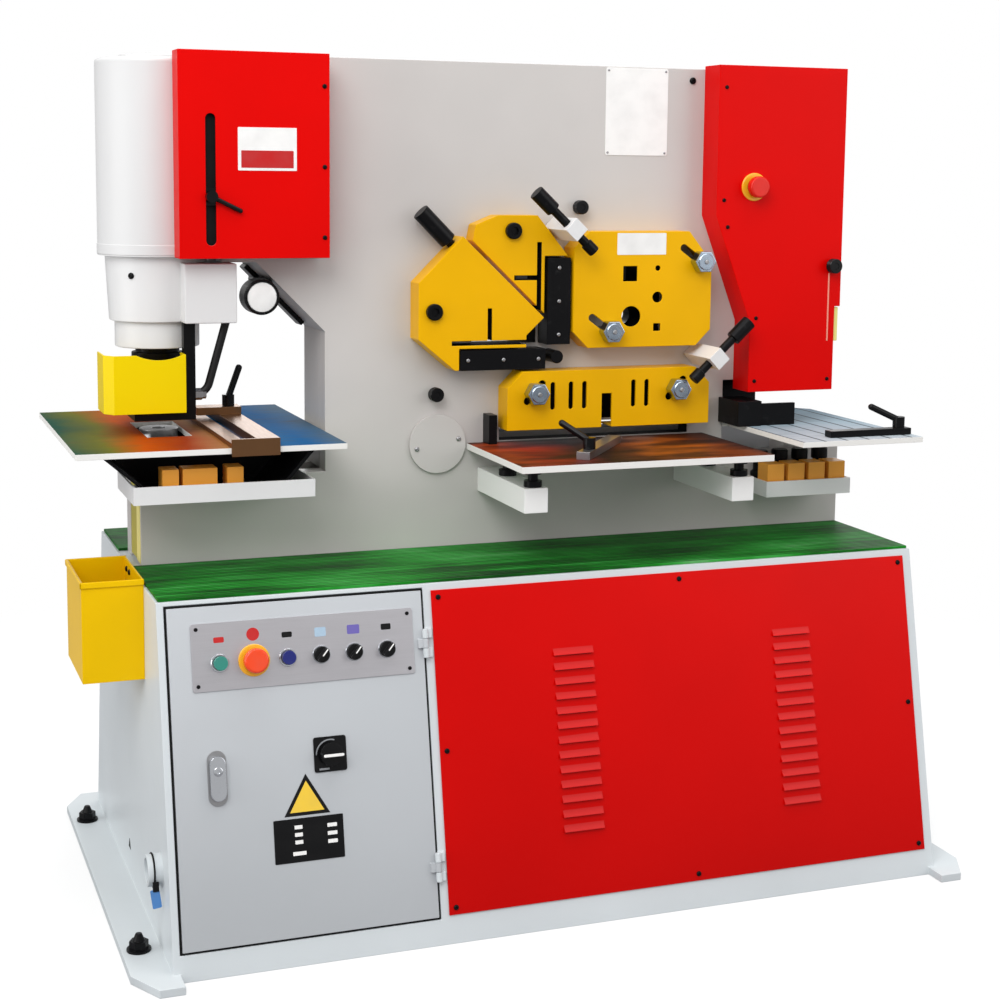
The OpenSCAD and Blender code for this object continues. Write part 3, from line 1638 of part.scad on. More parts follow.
// Clamp lever with its stud, standing on a face at height zero
module clamp_lever(turn, tilt) {
  translate([0, 0, -lever_stud_l]) cylinder(h = lever_stud_l + lever_float + 1, r = lever_stud_r);
  translate([0, 0, lever_float]) cylinder(h = lever_hub_h, r = lever_hub_r);
  rotate([0, 0, turn]) translate([0, 0, lever_hub_h - lever_arm_r]) rotate([0, 90 - tilt, 0]) {
    cylinder(h = lever_arm, r = lever_arm_r);
    translate([0, 0, lever_arm]) sphere(lever_arm_r, $fn = 32);
  }
}

module gauge_lever() {
  color(black) translate([chan_x, shoe_y + shoe_l / 2, pt_z + chan_t + shoe_h])
    clamp_lever(0, gauge_tilt);
}

// One open tray
module tray(x0, x1, d, z) {
  difference() {
    box(x0, x1, body_y - d, body_y, z, z + tray_h);
    box(x0 + tray_t, x1 - tray_t, body_y - d + tray_t, body_y + 1, z + tray_t, z + tray_h + 1);
  }
}

// Trays on the front frame plate
module tool_trays() {
  color(white) {
    tray(tray_x0, tray_x1, tray_d, tray_z);
    tray(rtray_x0, rtray_x1, rtray_d, rtray_z);
  }
}

// Flared boxes that carry the punch table, before and behind the jaw
module tool_box() {
  foot = tray_z + tray_t;
  top = pt_z - pt_t;
  flare = (box_bot_x0 - box_top_x0) / (top - foot);
  wall = [[box_top_x0, top], [box_bot_x0, foot], [box_bot_x1, foot], [box_top_x1, top]];
  color(black) for (y0 = [body_y - box_d, rear_y]) along_y(y0, y0 + box_d) difference() {
    polygon(wall);
    polygon([
      [box_top_x0 + 2 * box_t, top + 1], [box_bot_x0 + 2 * box_t - flare * box_t, foot + box_t],
      [box_bot_x1 - 2 * box_t + flare * box_t, foot + box_t], [box_top_x1 - 2 * box_t, top + 1]
    ]);
  }
  color(black) for (y = [body_y - box_t, rear_y]) along_y(y, y + box_t) polygon(wall);
}

// Orange tool blanks kept in the box and in the right tray
module tool_blocks() {
  y0 = body_y - box_d + tray_t;
  z0 = tray_z + tray_t + box_t;
  x0 = box_bot_x0 + 3 * box_t;
  x1 = punch_x + tool_a + 4 * box_t;
  color([0.95, 0.5, 0.05]) {
    box(punch_x, punch_x + tool_a, y0, y0 + tool_d, z0, z0 + tool_h);
    box(x1, x1 + tool_b, y0, y0 + tool_d, z0, z0 + tool_h);
    box(x0, x0 + tool_b, y0, y0 + tool_d, z0, z0 + tool_h);
    for (i = [0 : 3])
      translate([rtray_x0 + tray_t + tray_t / 2 + i * rtool_pitch, body_y - rtray_d + 2 * tray_t,
      rtray_z + tray_t])
      cube([rtool_w, tool_d, rtool_h]);
  }
}

// Table in front of the flat shear
module shear_table() {
  color(steel) box(st_x0, st_x1, st_y0, body_y, shear_z, st_z);
}

// Arms on the front plate that carry the shear table
module table_arms() {
  color(white) for (x = [arm_xa, arm_xb])
    box(x - arm_w / 2, x + arm_w / 2, arm_y0, body_y, arm_z - arm_h, arm_z);
}

// Levelling screws between the arms and the table
module table_screws() {
  gap = shear_z - arm_z;
  color(black) for (x = [arm_xa, arm_xb], y = [jack_y0, jack_y1])
    translate([x, y, arm_z]) {
    cylinder(h = gap / 3, r = jack_r);
    cylinder(h = gap, r = jack_neck_r);
    translate([0, 0, gap * 2 / 3]) cylinder(h = gap / 3, r = jack_r);
  }
}

// Angled fence clamped on the shear table
module shear_fence() {
  color(steel) translate([fence_x, fence_y, st_z]) rotate([0, 0, fence_a]) difference() {
    box(-fence_l / 2, fence_l / 2, -fence_w / 2, fence_w / 2, 0, fence_h);
    rod_z(fence_lever_s, 0, lever_stud_r + fit, fence_h - lever_stud_l - 1, fence_h + 1);
  }
}

module fence_lever() {
  color(black) translate([fence_x, fence_y, st_z]) rotate([0, 0, fence_a])
    translate([fence_lever_s, 0, fence_h]) clamp_lever(90, fence_tilt);
}

// Outline of the notching cover
function cover_pts() = [
  [ncov_low_x, ncov_z0], [ncov_x1 - ncov_step, ncov_z0], [ncov_x1 - ncov_step, ncov_step_z],
  [ncov_x1, ncov_step_z], [ncov_x1, ncov_z1], [ncov_x0, ncov_z1], [ncov_x0, ncov_k1],
  [ncov_low_x, ncov_k0]
];

// Cover of the shear cylinder and the notching ram
module notch_cover() {
  t = cover_t;
  color(red) difference() {
    along_y(ncov_y, body_y) polygon(cover_pts());
    along_y(ncov_y + t, body_y + 1) polygon([
      [ncov_low_x + t, ncov_z0 + t], [ncov_x1 - ncov_step - t, ncov_z0 + t],
      [ncov_x1 - ncov_step - t, ncov_step_z + t], [ncov_x1 - t, ncov_step_z + t],
      [ncov_x1 - t, ncov_z1 - t], [ncov_x0 + t, ncov_z1 - t], [ncov_x0 + t, ncov_k1],
      [ncov_low_x + t, ncov_k0]
    ]);
    rod_y(nstop_x, nstop_z, stem_r + fit, ncov_y - 1, ncov_y + t + 1);
  }
}

// Notching table around the die, with legs on the jaw
module notch_table() {
  die_x0 = ram_x - npunch_w / 2 - ndie_gap - ndie_rim - nt_gap;
  die_x1 = ram_x + npunch_w / 2 + ndie_gap + ndie_rim + nt_gap;
  die_d = npunch_d / 2 + ndie_gap + 2 * ndie_rim + nt_gap;
  color(steel) {
    difference() {
      translate([0, 0, nt_z - nt_t]) linear_extrude(nt_t) polygon([
        [nt_x0, nt_y0], [nt_x1, nt_y0], [nt_x1, nt_y1 - nt_c], [nt_x1 - nt_c, nt_y1],
        [notch_in + nt_gap, nt_y1], [notch_in + nt_gap, body_y - nt_gap],
        [nt_x0, body_y - nt_gap]
      ]);
      box(die_x0, die_x1, mid_y - die_d, mid_y + die_d, nt_z - nt_t - 1, nt_z + 1);
    }
    for (y = [body_y, gap_y1]) box(nt_leg_x0, nt_leg_x1, y, y + plate_t, jaw_z, nt_z - nt_t + 1);
  }
}

// Notching die on the jaw
module notch_die() {
  w = npunch_w / 2 + ndie_gap;
  d = npunch_d / 2 + ndie_gap;
  color(steel) difference() {
    box(ram_x - w - ndie_rim, ram_x + w + ndie_rim, mid_y - d - 2 * ndie_rim, mid_y + d + 2 * ndie_rim,
      jaw_z, nt_z);
    box(ram_x - w, ram_x + w, mid_y - d, mid_y + d, jaw_z - 1, nt_z + 1);
  }
}

// Black guard beside the notching punch
module notch_guard() {
  color(black) {
    difference() {
      box(ng_x0, ng_x1, ng_y0, body_y, nt_z, nt_z + ng_h);
      box(ng_x0 + ng_t, ng_x1 - ng_t, ng_y0 + ng_t, body_y + 1, nt_z - 1, nt_z + ng_h - ng_t);
    }
    box(ng_x1 - ng_t, ng_wing_x, ng_wing_y, ng_wing_y + ng_wing_t, nt_z, nt_z + ng_h - ng_t);
  }
}

// Stop bar that slides on the notching table
module notch_stop() {
  z0 = nt_z + slide_gap;
  color(black) difference() {
    box(bar_x0, bar_x1, bar_y, bar_y + bar_d, z0, z0 + bar_h);
    rod_z(bar_lever_x, bar_y + bar_d / 2, lever_stud_r + fit, z0 + bar_h - lever_stud_l - 1,
      z0 + bar_h + 1);
  }
}

module notch_lever() {
  color(black) translate([bar_lever_x, bar_y + bar_d / 2, nt_z + slide_gap + bar_h])
    clamp_lever(bar_turn, bar_tilt);
}

// Emergency stop head, its stem and collar, standing on a sheet at height zero
module stop_head(sheet) {
  translate([0, 0, mush_up]) rotate_extrude() union() {
    square([mush_r, mush_t - mush_rim]);
    square([mush_r - mush_rim, mush_t]);
    translate([mush_r - mush_rim, mush_t - mush_rim]) intersection() {
      circle(mush_rim);
      square(mush_rim);
    }
  }
  control_stem(sheet, mush_up);
}

// Stem of a control through a sheet, with its collar behind
module control_stem(sheet, up) {
  translate([0, 0, -sheet - stem_in]) cylinder(h = sheet + stem_in + up + 1, r = stem_r);
  translate([0, 0, -sheet - stem_in]) cylinder(h = collar_t, r = collar_r);
}

module notch_estop() {
  color(red) translate([nstop_x, ncov_y, nstop_z]) rotate([90, 0, 0]) stop_head(cover_t);
}

// Folded door with hinge knuckles and holes for the controls
module door() {
  color(pale) on_front() difference() {
    union() {
      difference() {
        box(door_x0, door_x1, door_v0, door_v1, -door_deep, door_t);
        box(door_x0 + door_rim, door_x1 - door_rim, door_v0 + door_rim, door_v1 - door_rim,
          -door_deep - 1, 0);
      }
      for (v = [hinge_v0, hinge_v1]) {
        half = hinge_mid / 2 - hinge_gap;
        translate([hinge_x, v - half, hinge_w]) rotate([-90, 0, 0])
          cylinder(h = 2 * half, r = hinge_r);
        box(hinge_x - hinge_leaf, hinge_x, v - half, v + half, door_t / 2,
          door_t + hinge_leaf_t);
      }
    }
    for (v = [hinge_v0, hinge_v1]) translate([hinge_x, v - hinge_mid, hinge_w]) rotate([-90, 0, 0])
      cylinder(h = 2 * hinge_mid, r = hinge_pin_r + fit);
    for (i = [0 : 5]) rod_z(row_x0 + i * row_pitch, row_v, stem_r + fit, -1, door_t + 1);
    rod_z(lock_x, lock_v, stem_r + fit, -1, door_t + 1);
    rod_z(main_x, main_v, stem_r + fit, -1, door_t + 1);
  }
}

// Push button with its stem
module push_button(i) {
  on_front() translate([row_x0 + i * row_pitch, row_v, door_t]) {
    translate([0, 0, cap_up]) cylinder(h = cap_t, r = cap_r);
    control_stem(door_t, cap_up);
  }
}

module green_button() {
  color([0.1, 0.45, 0.3]) push_button(0);
}

module blue_button() {
  color([0.05, 0.1, 0.4]) push_button(2);
}

module estop_button() {
  color(red) on_front() translate([row_x0 + row_pitch, row_v, door_t]) stop_head(door_t);
}

// Selector knob with its grip and stem
module selector(i) {
  color(black) on_front() translate([row_x0 + i * row_pitch, row_v, door_t]) rotate([0, 0, sel_turn]) {
    translate([0, 0, sel_up]) cylinder(h = sel_t, r = sel_r);
    translate([0, 0, sel_up + sel_t - 1]) intersection() {
      cylinder(h = sel_grip_h + 1, r = sel_r - sel_lip);
      box(-sel_r, sel_r, -sel_grip_w / 2, sel_grip_w / 2, 0, sel_grip_h + 1);
    }
    control_stem(door_t, sel_up);
  }
}

module selector_a() {
  selector(3);
}

module selector_b() {
  selector(4);
}

module selector_c() {
  selector(5);
}

// Lock handle with round ends
module door_lock() {
  color(pale) on_front() translate([lock_x, lock_v, door_t]) {
    translate([0, 0, sel_up]) linear_extrude(lock_t) translate([0, lock_l / 4])
      slot(lock_l, lock_w, -90);
    control_stem(door_t, sel_up);
  }
}

// Knob of the main switch
module switch_handle() {
  color(black) on_front() translate([main_x, main_v, door_t]) {
    translate([0, 0, sel_up]) cylinder(h = main_t, r = main_r);
    translate([0, 0, sel_up + main_t - 1]) intersection() {
      cylinder(h = main_grip_h + 1, r = main_r);
      box(-main_r, main_r, -main_grip_w / 2, main_grip_w / 2, 0, main_grip_h + 1);
    }
    control_stem(door_t, sel_up);
  }
}

base_frame();
foot_bolts();
power_pack();
switchgear();
louvre_panel();
mat();
bin();
front_plate();
rear_plate();
pivot_pin();
shear_cylinder();
angle_guards();
fixed_blades();
guard_knobs();
holddown_blocks();
punch_cylinder();
punch_guide();
die_block();
punch_cover();
stripper();
stripper_guard();
hose();
lamp();
punch_table();
punch_rails();
tool_trays();
tool_box();
tool_blocks();
shear_table();
table_arms();
table_screws();
shear_fence();
notch_cover();
notch_table();
notch_die();
notch_guard();
shear_beam();
notch_ram();
punch_ram();
punch();
stroke_lever();
section_guard();
flat_guard();
screw_a();
screw_b();
screw_c();
notch_stop();
gauge_lever();
fence_lever();
notch_lever();
notch_estop();
door();
green_button();
blue_button();
estop_button();
selector_a();
selector_b();
selector_c();
door_lock();
switch_handle();
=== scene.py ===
"""Looks of an ironworker machine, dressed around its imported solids."""

import json
import logging
import math
from dataclasses import dataclass
from enum import Enum
from typing import Dict, List, Optional, Sequence, Tuple, Union

import bpy
from mathutils import Matrix, Vector


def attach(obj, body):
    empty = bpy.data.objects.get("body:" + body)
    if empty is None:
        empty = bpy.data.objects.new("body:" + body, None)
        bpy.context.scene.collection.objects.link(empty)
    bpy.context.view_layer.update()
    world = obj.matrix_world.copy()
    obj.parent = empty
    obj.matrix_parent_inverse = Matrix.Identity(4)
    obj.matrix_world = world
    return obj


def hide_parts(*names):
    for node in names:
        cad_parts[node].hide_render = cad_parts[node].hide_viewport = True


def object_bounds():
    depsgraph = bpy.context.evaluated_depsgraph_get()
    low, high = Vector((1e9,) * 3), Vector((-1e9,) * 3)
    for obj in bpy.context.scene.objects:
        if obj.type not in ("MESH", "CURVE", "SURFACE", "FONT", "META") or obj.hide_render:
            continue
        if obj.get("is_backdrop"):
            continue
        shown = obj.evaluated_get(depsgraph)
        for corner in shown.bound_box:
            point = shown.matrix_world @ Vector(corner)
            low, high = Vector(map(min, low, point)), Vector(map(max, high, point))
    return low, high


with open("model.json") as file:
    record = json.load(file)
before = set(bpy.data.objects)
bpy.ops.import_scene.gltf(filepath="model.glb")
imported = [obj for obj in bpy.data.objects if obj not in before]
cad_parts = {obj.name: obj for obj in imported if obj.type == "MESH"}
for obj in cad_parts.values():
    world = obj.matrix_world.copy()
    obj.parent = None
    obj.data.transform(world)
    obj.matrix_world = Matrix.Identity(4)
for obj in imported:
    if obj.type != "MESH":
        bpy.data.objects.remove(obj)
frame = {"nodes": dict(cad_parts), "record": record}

LOG = logging.getLogger("ironworker")
CAD_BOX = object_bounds()
MM = 0.001

Triple = Tuple[float, float, float]
Pair = Tuple[float, float]
Box = Tuple[Triple, Triple]
Stops = Sequence[Tuple[float, Triple]]
Value = Union["Sock", float, int, Sequence[float]]
Settings = Dict[str, object]
Inputs = Dict[Union[str, int], Value]

FACE_FOOT = -428.0
FACE_BACK = 123.0
FACE_RISE = 586.0
LEAN = math.atan2(FACE_BACK, FACE_RISE)
SLOPE = Matrix.Translation((0, FACE_FOOT * MM, 0)) @ Matrix.Rotation(math.pi / 2 - LEAN, 4, "X")
UPRIGHT = Matrix.Rotation(math.pi / 2, 4, "X")
GUIDE_X = -54.0
GUIDE_Y = -67.2


class Facing(Enum):
    """Which way a small piece looks out from its surface; upright ones have their turn about Z."""

    FRONT = 0.0
    LEFT = -math.pi / 2
    RIGHT = math.pi / 2
    GUIDE = math.atan2(GUIDE_Y, GUIDE_X) + math.pi / 2
    SLOPE = "slope"
    UP = "up"


Spot = Tuple[Facing, float, float, float]


def place(facing: Facing, x: float, v: float, off: float) -> Matrix:
    """Matrix from a piece drawn flat at the origin to its place on a surface.

    Args:
        facing: the surface's direction.
        x: place along the surface in mm (Y for the end faces).
        v: height on the surface in mm (Y for upward faces).
        off: the surface's own level in mm: its Y, its lift off the slope, its Z or its X.

    Returns:
        The matrix in metres.
    """
    flat = Matrix.Translation((x * MM, v * MM, off * MM))
    if facing is Facing.UP:
        return flat
    if facing is Facing.SLOPE:
        return SLOPE @ flat
    across, inward = (off, x) if facing in (Facing.LEFT, Facing.RIGHT) else (x, off)
    turn = Matrix.Rotation(facing.value, 4, "Z") @ UPRIGHT
    return Matrix.Translation((across * MM, inward * MM, v * MM)) @ turn


def tint(code: str) -> Triple:
    """Linear colour of a six-digit screen colour."""
    parts = [int(code[i:i + 2], 16) / 255 for i in (0, 2, 4)]
    return tuple(c / 12.92 if c <= 0.04045 else ((c + 0.055) / 1.055) ** 2.4 for c in parts)


class Sock:
    """A shader value that Python's operators work on."""

    def __init__(self, owner: "Tree", socket: bpy.types.NodeSocket) -> None:
        """Keeps the socket and the tree that owns it."""
        self.owner = owner
        self.socket = socket

    def _math(self, operation: str, first: Value, second: Value) -> "Sock":
        """Result of one Math node."""
        return self.owner.wire("ShaderNodeMath", {"operation": operation}, {0: first, 1: second})

    def __add__(self, other: Value) -> "Sock":
        """Sum."""
        return self._math("ADD", self, other)

    __radd__ = __add__

    def __sub__(self, other: Value) -> "Sock":
        """Difference."""
        return self._math("SUBTRACT", self, other)

    def __rsub__(self, other: Value) -> "Sock":
        """Difference from a number."""
        return self._math("SUBTRACT", other, self)

    def __mul__(self, other: Value) -> "Sock":
        """Product."""
        return self._math("MULTIPLY", self, other)

    __rmul__ = __mul__

    def __truediv__(self, other: Value) -> "Sock":
        """Quotient."""
        return self._math("DIVIDE", self, other)

    def __rtruediv__(self, other: Value) -> "Sock":
        """Quotient of a number by the value."""
        return self._math("DIVIDE", other, self)

    def above(self, edge: Value) -> "Sock":
        """One where the value is over an edge."""
        return self._math("GREATER_THAN", self, edge)

    def below(self, edge: Value) -> "Sock":
        """One where the value is under an edge."""
        return self._math("LESS_THAN", self, edge)

    def repeat(self, length: float) -> "Sock":
        """Remainder in a repeated length."""
        return self._math("FLOORED_MODULO", self, length)

    def size(self) -> "Sock":
        """Value without its sign."""
        return self._math("ABSOLUTE", self, 0.0)

    def ramp(self, low: float, high: float) -> "Sock":
        """Value stretched from low to high into 0 to 1, held at both ends."""
        inputs = {"Value": self, "From Min": low, "From Max": high}
        return self.owner.wire("ShaderNodeMapRange", {"clamp": True}, inputs, "Result")


class Tree:
    """A node tree that is built from nothing."""

    def __init__(self, owner: Union[bpy.types.Material, bpy.types.World]) -> None:
        """Empties the tree of a material or a world."""
        owner.use_nodes = True
        self.tree = owner.node_tree
        self.tree.nodes.clear()

    def node(self, kind: str, settings: Settings, inputs: Inputs) -> bpy.types.Node:
        """Adds any node.

        Args:
            kind: the node's type.
            settings: attributes that are set first; "stops" sets a colour ramp.
            inputs: values or links of its sockets.

        Returns:
            The new node.
        """
        made = self.tree.nodes.new(kind)
        for key, value in settings.items():
            if key == "stops":
                self._stops(made, value)
            else:
                setattr(made, key, value)
        for key, value in inputs.items():
            self.feed(made.inputs[key], value)
        return made

    def wire(self, kind: str, settings: Settings, inputs: Inputs, out: Union[str, int] = 0) -> Sock:
        """One output of a new node, by its name or number."""
        return Sock(self, self.node(kind, settings, inputs).outputs[out])

    def _stops(self, made: bpy.types.Node, stops: Stops) -> None:
        """Sets the stops of a colour ramp.

        Args:
            made: the ramp's node.
            stops: place and colour of each stop.
        """
        ramp = made.color_ramp
        while len(ramp.elements) < len(stops):
            ramp.elements.new(0.5)
        for element, (where, colour) in zip(ramp.elements, stops):
            element.position = where
            element.color = (*colour, 1.0)

    def feed(self, socket: bpy.types.NodeSocket, value: Value) -> None:
        """Links or sets a socket.

        Args:
            socket: the input.
            value: another node's output, a number or a colour.
        """
        if isinstance(value, Sock):
            self.tree.links.new(value.socket, socket)
        elif isinstance(value, (int, float)):
            socket.default_value = value
        else:
            wide = len(socket.default_value)
            socket.default_value = tuple(value) if len(value) == wide else (*value, 1.0)


class Shader(Tree):
    """Builds one procedural material."""

    def __init__(self, name: str) -> None:
        """Starts a material with one shader node.

        Args:
            name: the material's name.
        """
        self.material = bpy.data.materials.new(name)
        super().__init__(self.material)
        self.bsdf = self.node("ShaderNodeBsdfPrincipled", {}, {})
        self.surface = Sock(self, self.bsdf.outputs[0])
        self.out = self.node("ShaderNodeOutputMaterial", {}, {0: self.surface})
        self._coords: Optional[Sock] = None

    def coords(self) -> Sock:
        """Object coordinates."""
        if self._coords is None:
            self._coords = self.wire("ShaderNodeTexCoord", {}, {}, "Object")
        return self._coords

    def axis(self, name: str) -> Sock:
        """One object coordinate, X, Y or Z."""
        return self.wire("ShaderNodeSeparateXYZ", {}, {0: self.coords()}, name)

    def normal(self, name: str) -> Sock:
        """One part of the true surface direction, X, Y or Z."""
        facing = self.wire("ShaderNodeNewGeometry", {}, {}, "True Normal")
        return self.wire("ShaderNodeSeparateXYZ", {}, {0: facing}, name)

    def noise(self, scale: float, detail: float = 3.0, stretch: Triple = (1, 1, 1),
              rough: float = 0.5) -> Sock:
        """Noise from 0 to 1.

        Args:
            scale: cells in a metre.
            detail: octaves.
            stretch: factors on X, Y and Z.
            rough: weight of the fine octaves.

        Returns:
            The noise value.
        """
        where = self.wire("ShaderNodeMapping", {}, {"Vector": self.coords(), "Scale": stretch})
        return self.wire("ShaderNodeTexNoise", {}, {
            "Vector": where, "Scale": scale, "Detail": detail, "Roughness": rough})

    def blend(self, mask: Value, low: Value, high: Value) -> Sock:
        """Mix of two colours by a mask."""
        return self.wire("ShaderNodeMix", {"data_type": "RGBA"}, {0: mask, 6: low, 7: high}, 2)

    def colours(self, value: Value, stops: Stops) -> Sock:
        """Colour ramp over a value."""
        return self.wire("ShaderNodeValToRGB", {"stops": stops}, {0: value})

    def bump(self, height: Value, strength: float, distance: float) -> None:
        """Sets a bump from a height."""
        inputs = {"Height": height, "Strength": strength, "Distance": distance}
        self.feed(self.bsdf.inputs["Normal"], self.wire("ShaderNodeBump", {}, inputs))

    def held(self, name: str) -> Sock:
        """What a socket of the shader is linked to."""
        return Sock(self, self.bsdf.inputs[name].links[0].from_socket)

    def put(self, **sockets: Value) -> None:
        """Sets the shader's own sockets, named with underscores."""
        for key, value in sockets.items():
            self.feed(self.bsdf.inputs[key.replace("_", " ").title().replace("Ior", "IOR")], value)


@dataclass(frozen=True)
class Finish:
    """A named surface with a base colour; each kind builds its own shader."""

    name: str
    colour: Triple

    def shade(self, shader: Shader) -> None:
        """Fills the shader; each kind has its own."""
        shader.put(base_color=self.colour)

    def material(self) -> bpy.types.Material:
        """The finish's material, made once."""
        found = bpy.data.materials.get(self.name)
        if found is not None:
            return found
        shader = Shader(self.name)
        self.shade(shader)
        return shader.material


@dataclass(frozen=True)
class Paint(Finish):
    """Sprayed paint on sheet or plate: orange peel, soft cloudiness and a little dust, with a painted
    highlight on upward faces and painted shade towards the floor where set.
    """

    rough: float = 0.34
    cloud: float = 0.05
    dust: float = 0.10
    peel: float = 0.06
    gloss: float = 0.30
    top_highlight: float = 0.0
    shade_to_floor: float = 0.0

    def shade(self, shader: Shader) -> None:
        """Mottles the colour and the gloss, paints a highlight on the upward faces and paints shade towards
        the floor.

        Args:
            shader: the shader to fill.
        """
        cloud = shader.noise(2.2, 4.0)
        speck = shader.noise(38.0, 5.0, rough=0.65)
        deep = tuple(c * (1 - 2.2 * self.cloud) for c in self.colour)
        tone = shader.blend(cloud.ramp(0.32, 0.68), deep, self.colour)
        dusty = tuple(0.72 * c + 0.10 for c in self.colour)
        film = speck.ramp(0.56, 0.80) * self.dust
        # Painted shade: the paint darkens towards the floor, where the light falls off.
        if self.shade_to_floor > 0:
            floor_shade = tuple(0.5 * c for c in self.colour)
            tone = shader.blend(shader.axis("Z").ramp(0.62, 0.0) * (2 * self.shade_to_floor), tone, floor_shade)
        # Painted highlight: faces that look upward are paled, as if lit from above.
        if self.top_highlight > 0:
            pale = tuple(0.6 * c + 0.25 for c in self.colour)
            tone = shader.blend(shader.normal("Z").ramp(0.35, 0.85) * self.top_highlight, tone, pale)
        shader.put(base_color=shader.blend(film, tone, dusty),
                   roughness=film * 0.8 + cloud * 0.10 + (self.rough - 0.05),
                   specular_ior_level=self.gloss)
        shader.bump(shader.noise(420.0, 2.0), self.peel, 0.0006)


@dataclass(frozen=True)
class CutShadePaint(Paint):
    """Paint with painted shade, near black, on the walls of its deep cuts; each cut is a box in X and Z, all
    in one range of Y, in mm.
    """

    cuts: Tuple[Tuple[float, float, float, float], ...] = ()
    depth: Pair = (-1000.0, 1000.0)

    def shade(self, shader: Shader) -> None:
        """Paints shade on the walls of the cuts.

        Args:
            shader: the shader to fill.
        """
        super().shade(shader)
        paint, gloss = shader.held("Base Color"), shader.held("Roughness")
        across, inward, up = shader.axis("X"), shader.axis("Y"), shader.axis("Z")
        within = inward.above(self.depth[0] * MM) * inward.below(self.depth[1] * MM)
        mask: Value = 0.0
        for x0, x1, z0, z1 in self.cuts:
            inside = across.above(x0 * MM) * across.below(x1 * MM) * up.above(z0 * MM) * up.below(z1 * MM)
            mask = inside + mask
        # Painted shade: the walls inside the cuts are painted near black, where they lie in shade.
        cut_shade = mask.ramp(0.0, 1.0) * within
        shader.put(base_color=shader.blend(cut_shade, paint, tint("0c0b0a")), roughness=gloss + cut_shade)


@dataclass(frozen=True)
class Metal(Finish):
    """Worked steel: fine lines along one axis and uneven gloss."""

    rough: float = 0.32
    grain: Triple = (1.0, 60.0, 60.0)
    stain: Triple = (0.10, 0.09, 0.08)
    soil: float = 0.25
    metallic: float = 1.0

    def shade(self, shader: Shader) -> None:
        """Draws the lines and the stains.

        Args:
            shader: the shader to fill.
        """
        line = shader.noise(14.0, 4.0, self.grain)
        patch = shader.noise(7.0, 5.0, rough=0.6)
        soil = patch.ramp(0.50, 0.74) * self.soil
        bright = tuple(min(1.0, c * 1.12) for c in self.colour)
        shader.put(base_color=shader.blend(soil, shader.blend(line, self.colour, bright), self.stain),
                   roughness=line * 0.14 + soil * 0.25 + (self.rough - 0.07),
                   metallic=1 - soil * 0.6 if self.metallic > 0.5 else 0.0)
        shader.bump(line, 0.12, 0.0004)


@dataclass(frozen=True)
class Oxide(Finish):
    """Blackened steel: dark, oily, with rubbed patches."""

    rough: float = 0.38
    rub: float = 0.35

    def shade(self, shader: Shader) -> None:
        """Mixes bare rubs into the black.

        Args:
            shader: the shader to fill.
        """
        rub = shader.noise(60.0, 6.0, rough=0.7).ramp(0.58, 0.82) * self.rub
        oil = shader.noise(9.0, 3.0)
        pale = tuple(c + 0.06 for c in self.colour)
        shader.put(base_color=shader.blend(rub, self.colour, pale), roughness=oil * 0.2 + (self.rough - 0.1),
                   metallic=rub * 0.8, specular_ior_level=0.14)
        shader.bump(shader.noise(300.0, 3.0), 0.08, 0.0004)


@dataclass(frozen=True)
class Plastic(Finish):
    """Moulded plastic or rubber with a fine grain."""

    rough: float = 0.35
    grain: float = 0.05
    gloss: float = 0.5
    fading: float = 0.02

    def shade(self, shader: Shader) -> None:
        """Adds grain and slight fading.

        Args:
            shader: the shader to fill.
        """
        fade = shader.noise(30.0, 3.0)
        pale = tuple(0.88 * c + self.fading for c in self.colour)
        shader.put(base_color=shader.blend(fade.ramp(0.4, 0.8), self.colour, pale),
                   roughness=fade * 0.12 + (self.rough - 0.06), specular_ior_level=self.gloss)
        shader.bump(shader.noise(1500.0, 2.0), self.grain, 0.0003)


@dataclass(frozen=True)
class RibbedMat(Finish):
    """Green ribbed rubber with lengthwise ribs, worn in streaks."""

    pitch: float = 0.0105

    def shade(self, shader: Shader) -> None:
        """Draws ribs along X, streaks along them and painted shade in the grooves between the ribs.

        Args:
            shader: the shader to fill.
        """
        wave = shader.noise(5.0, 2.0) * 0.004
        rib = ((shader.axis("Y") + wave).repeat(self.pitch) / self.pitch - 0.5).size() * 2.0
        streak = shader.noise(9.0, 6.0, (0.35, 7.0, 1.0), 0.7)
        patch = shader.noise(3.4, 4.0, (1.0, 2.4, 1.0))
        worn = shader.colours(streak * 0.55 + patch * 0.45, [
            (0.36, tint("052a08")), (0.44, tint("0b5410")), (0.52, tint("178420")), (0.60, tint("3aa043")),
            (0.72, tint("8dbb8c"))])
        # Painted shade: the grooves between the ribs are painted darker.
        groove_shade = rib.ramp(0.55, 0.85)
        shader.put(base_color=shader.blend(groove_shade * 0.85, worn, tint("052408")),
                   roughness=streak * 0.25 + 0.40, specular_ior_level=0.14)
        shader.bump(1 - rib, 0.9, 0.0016)


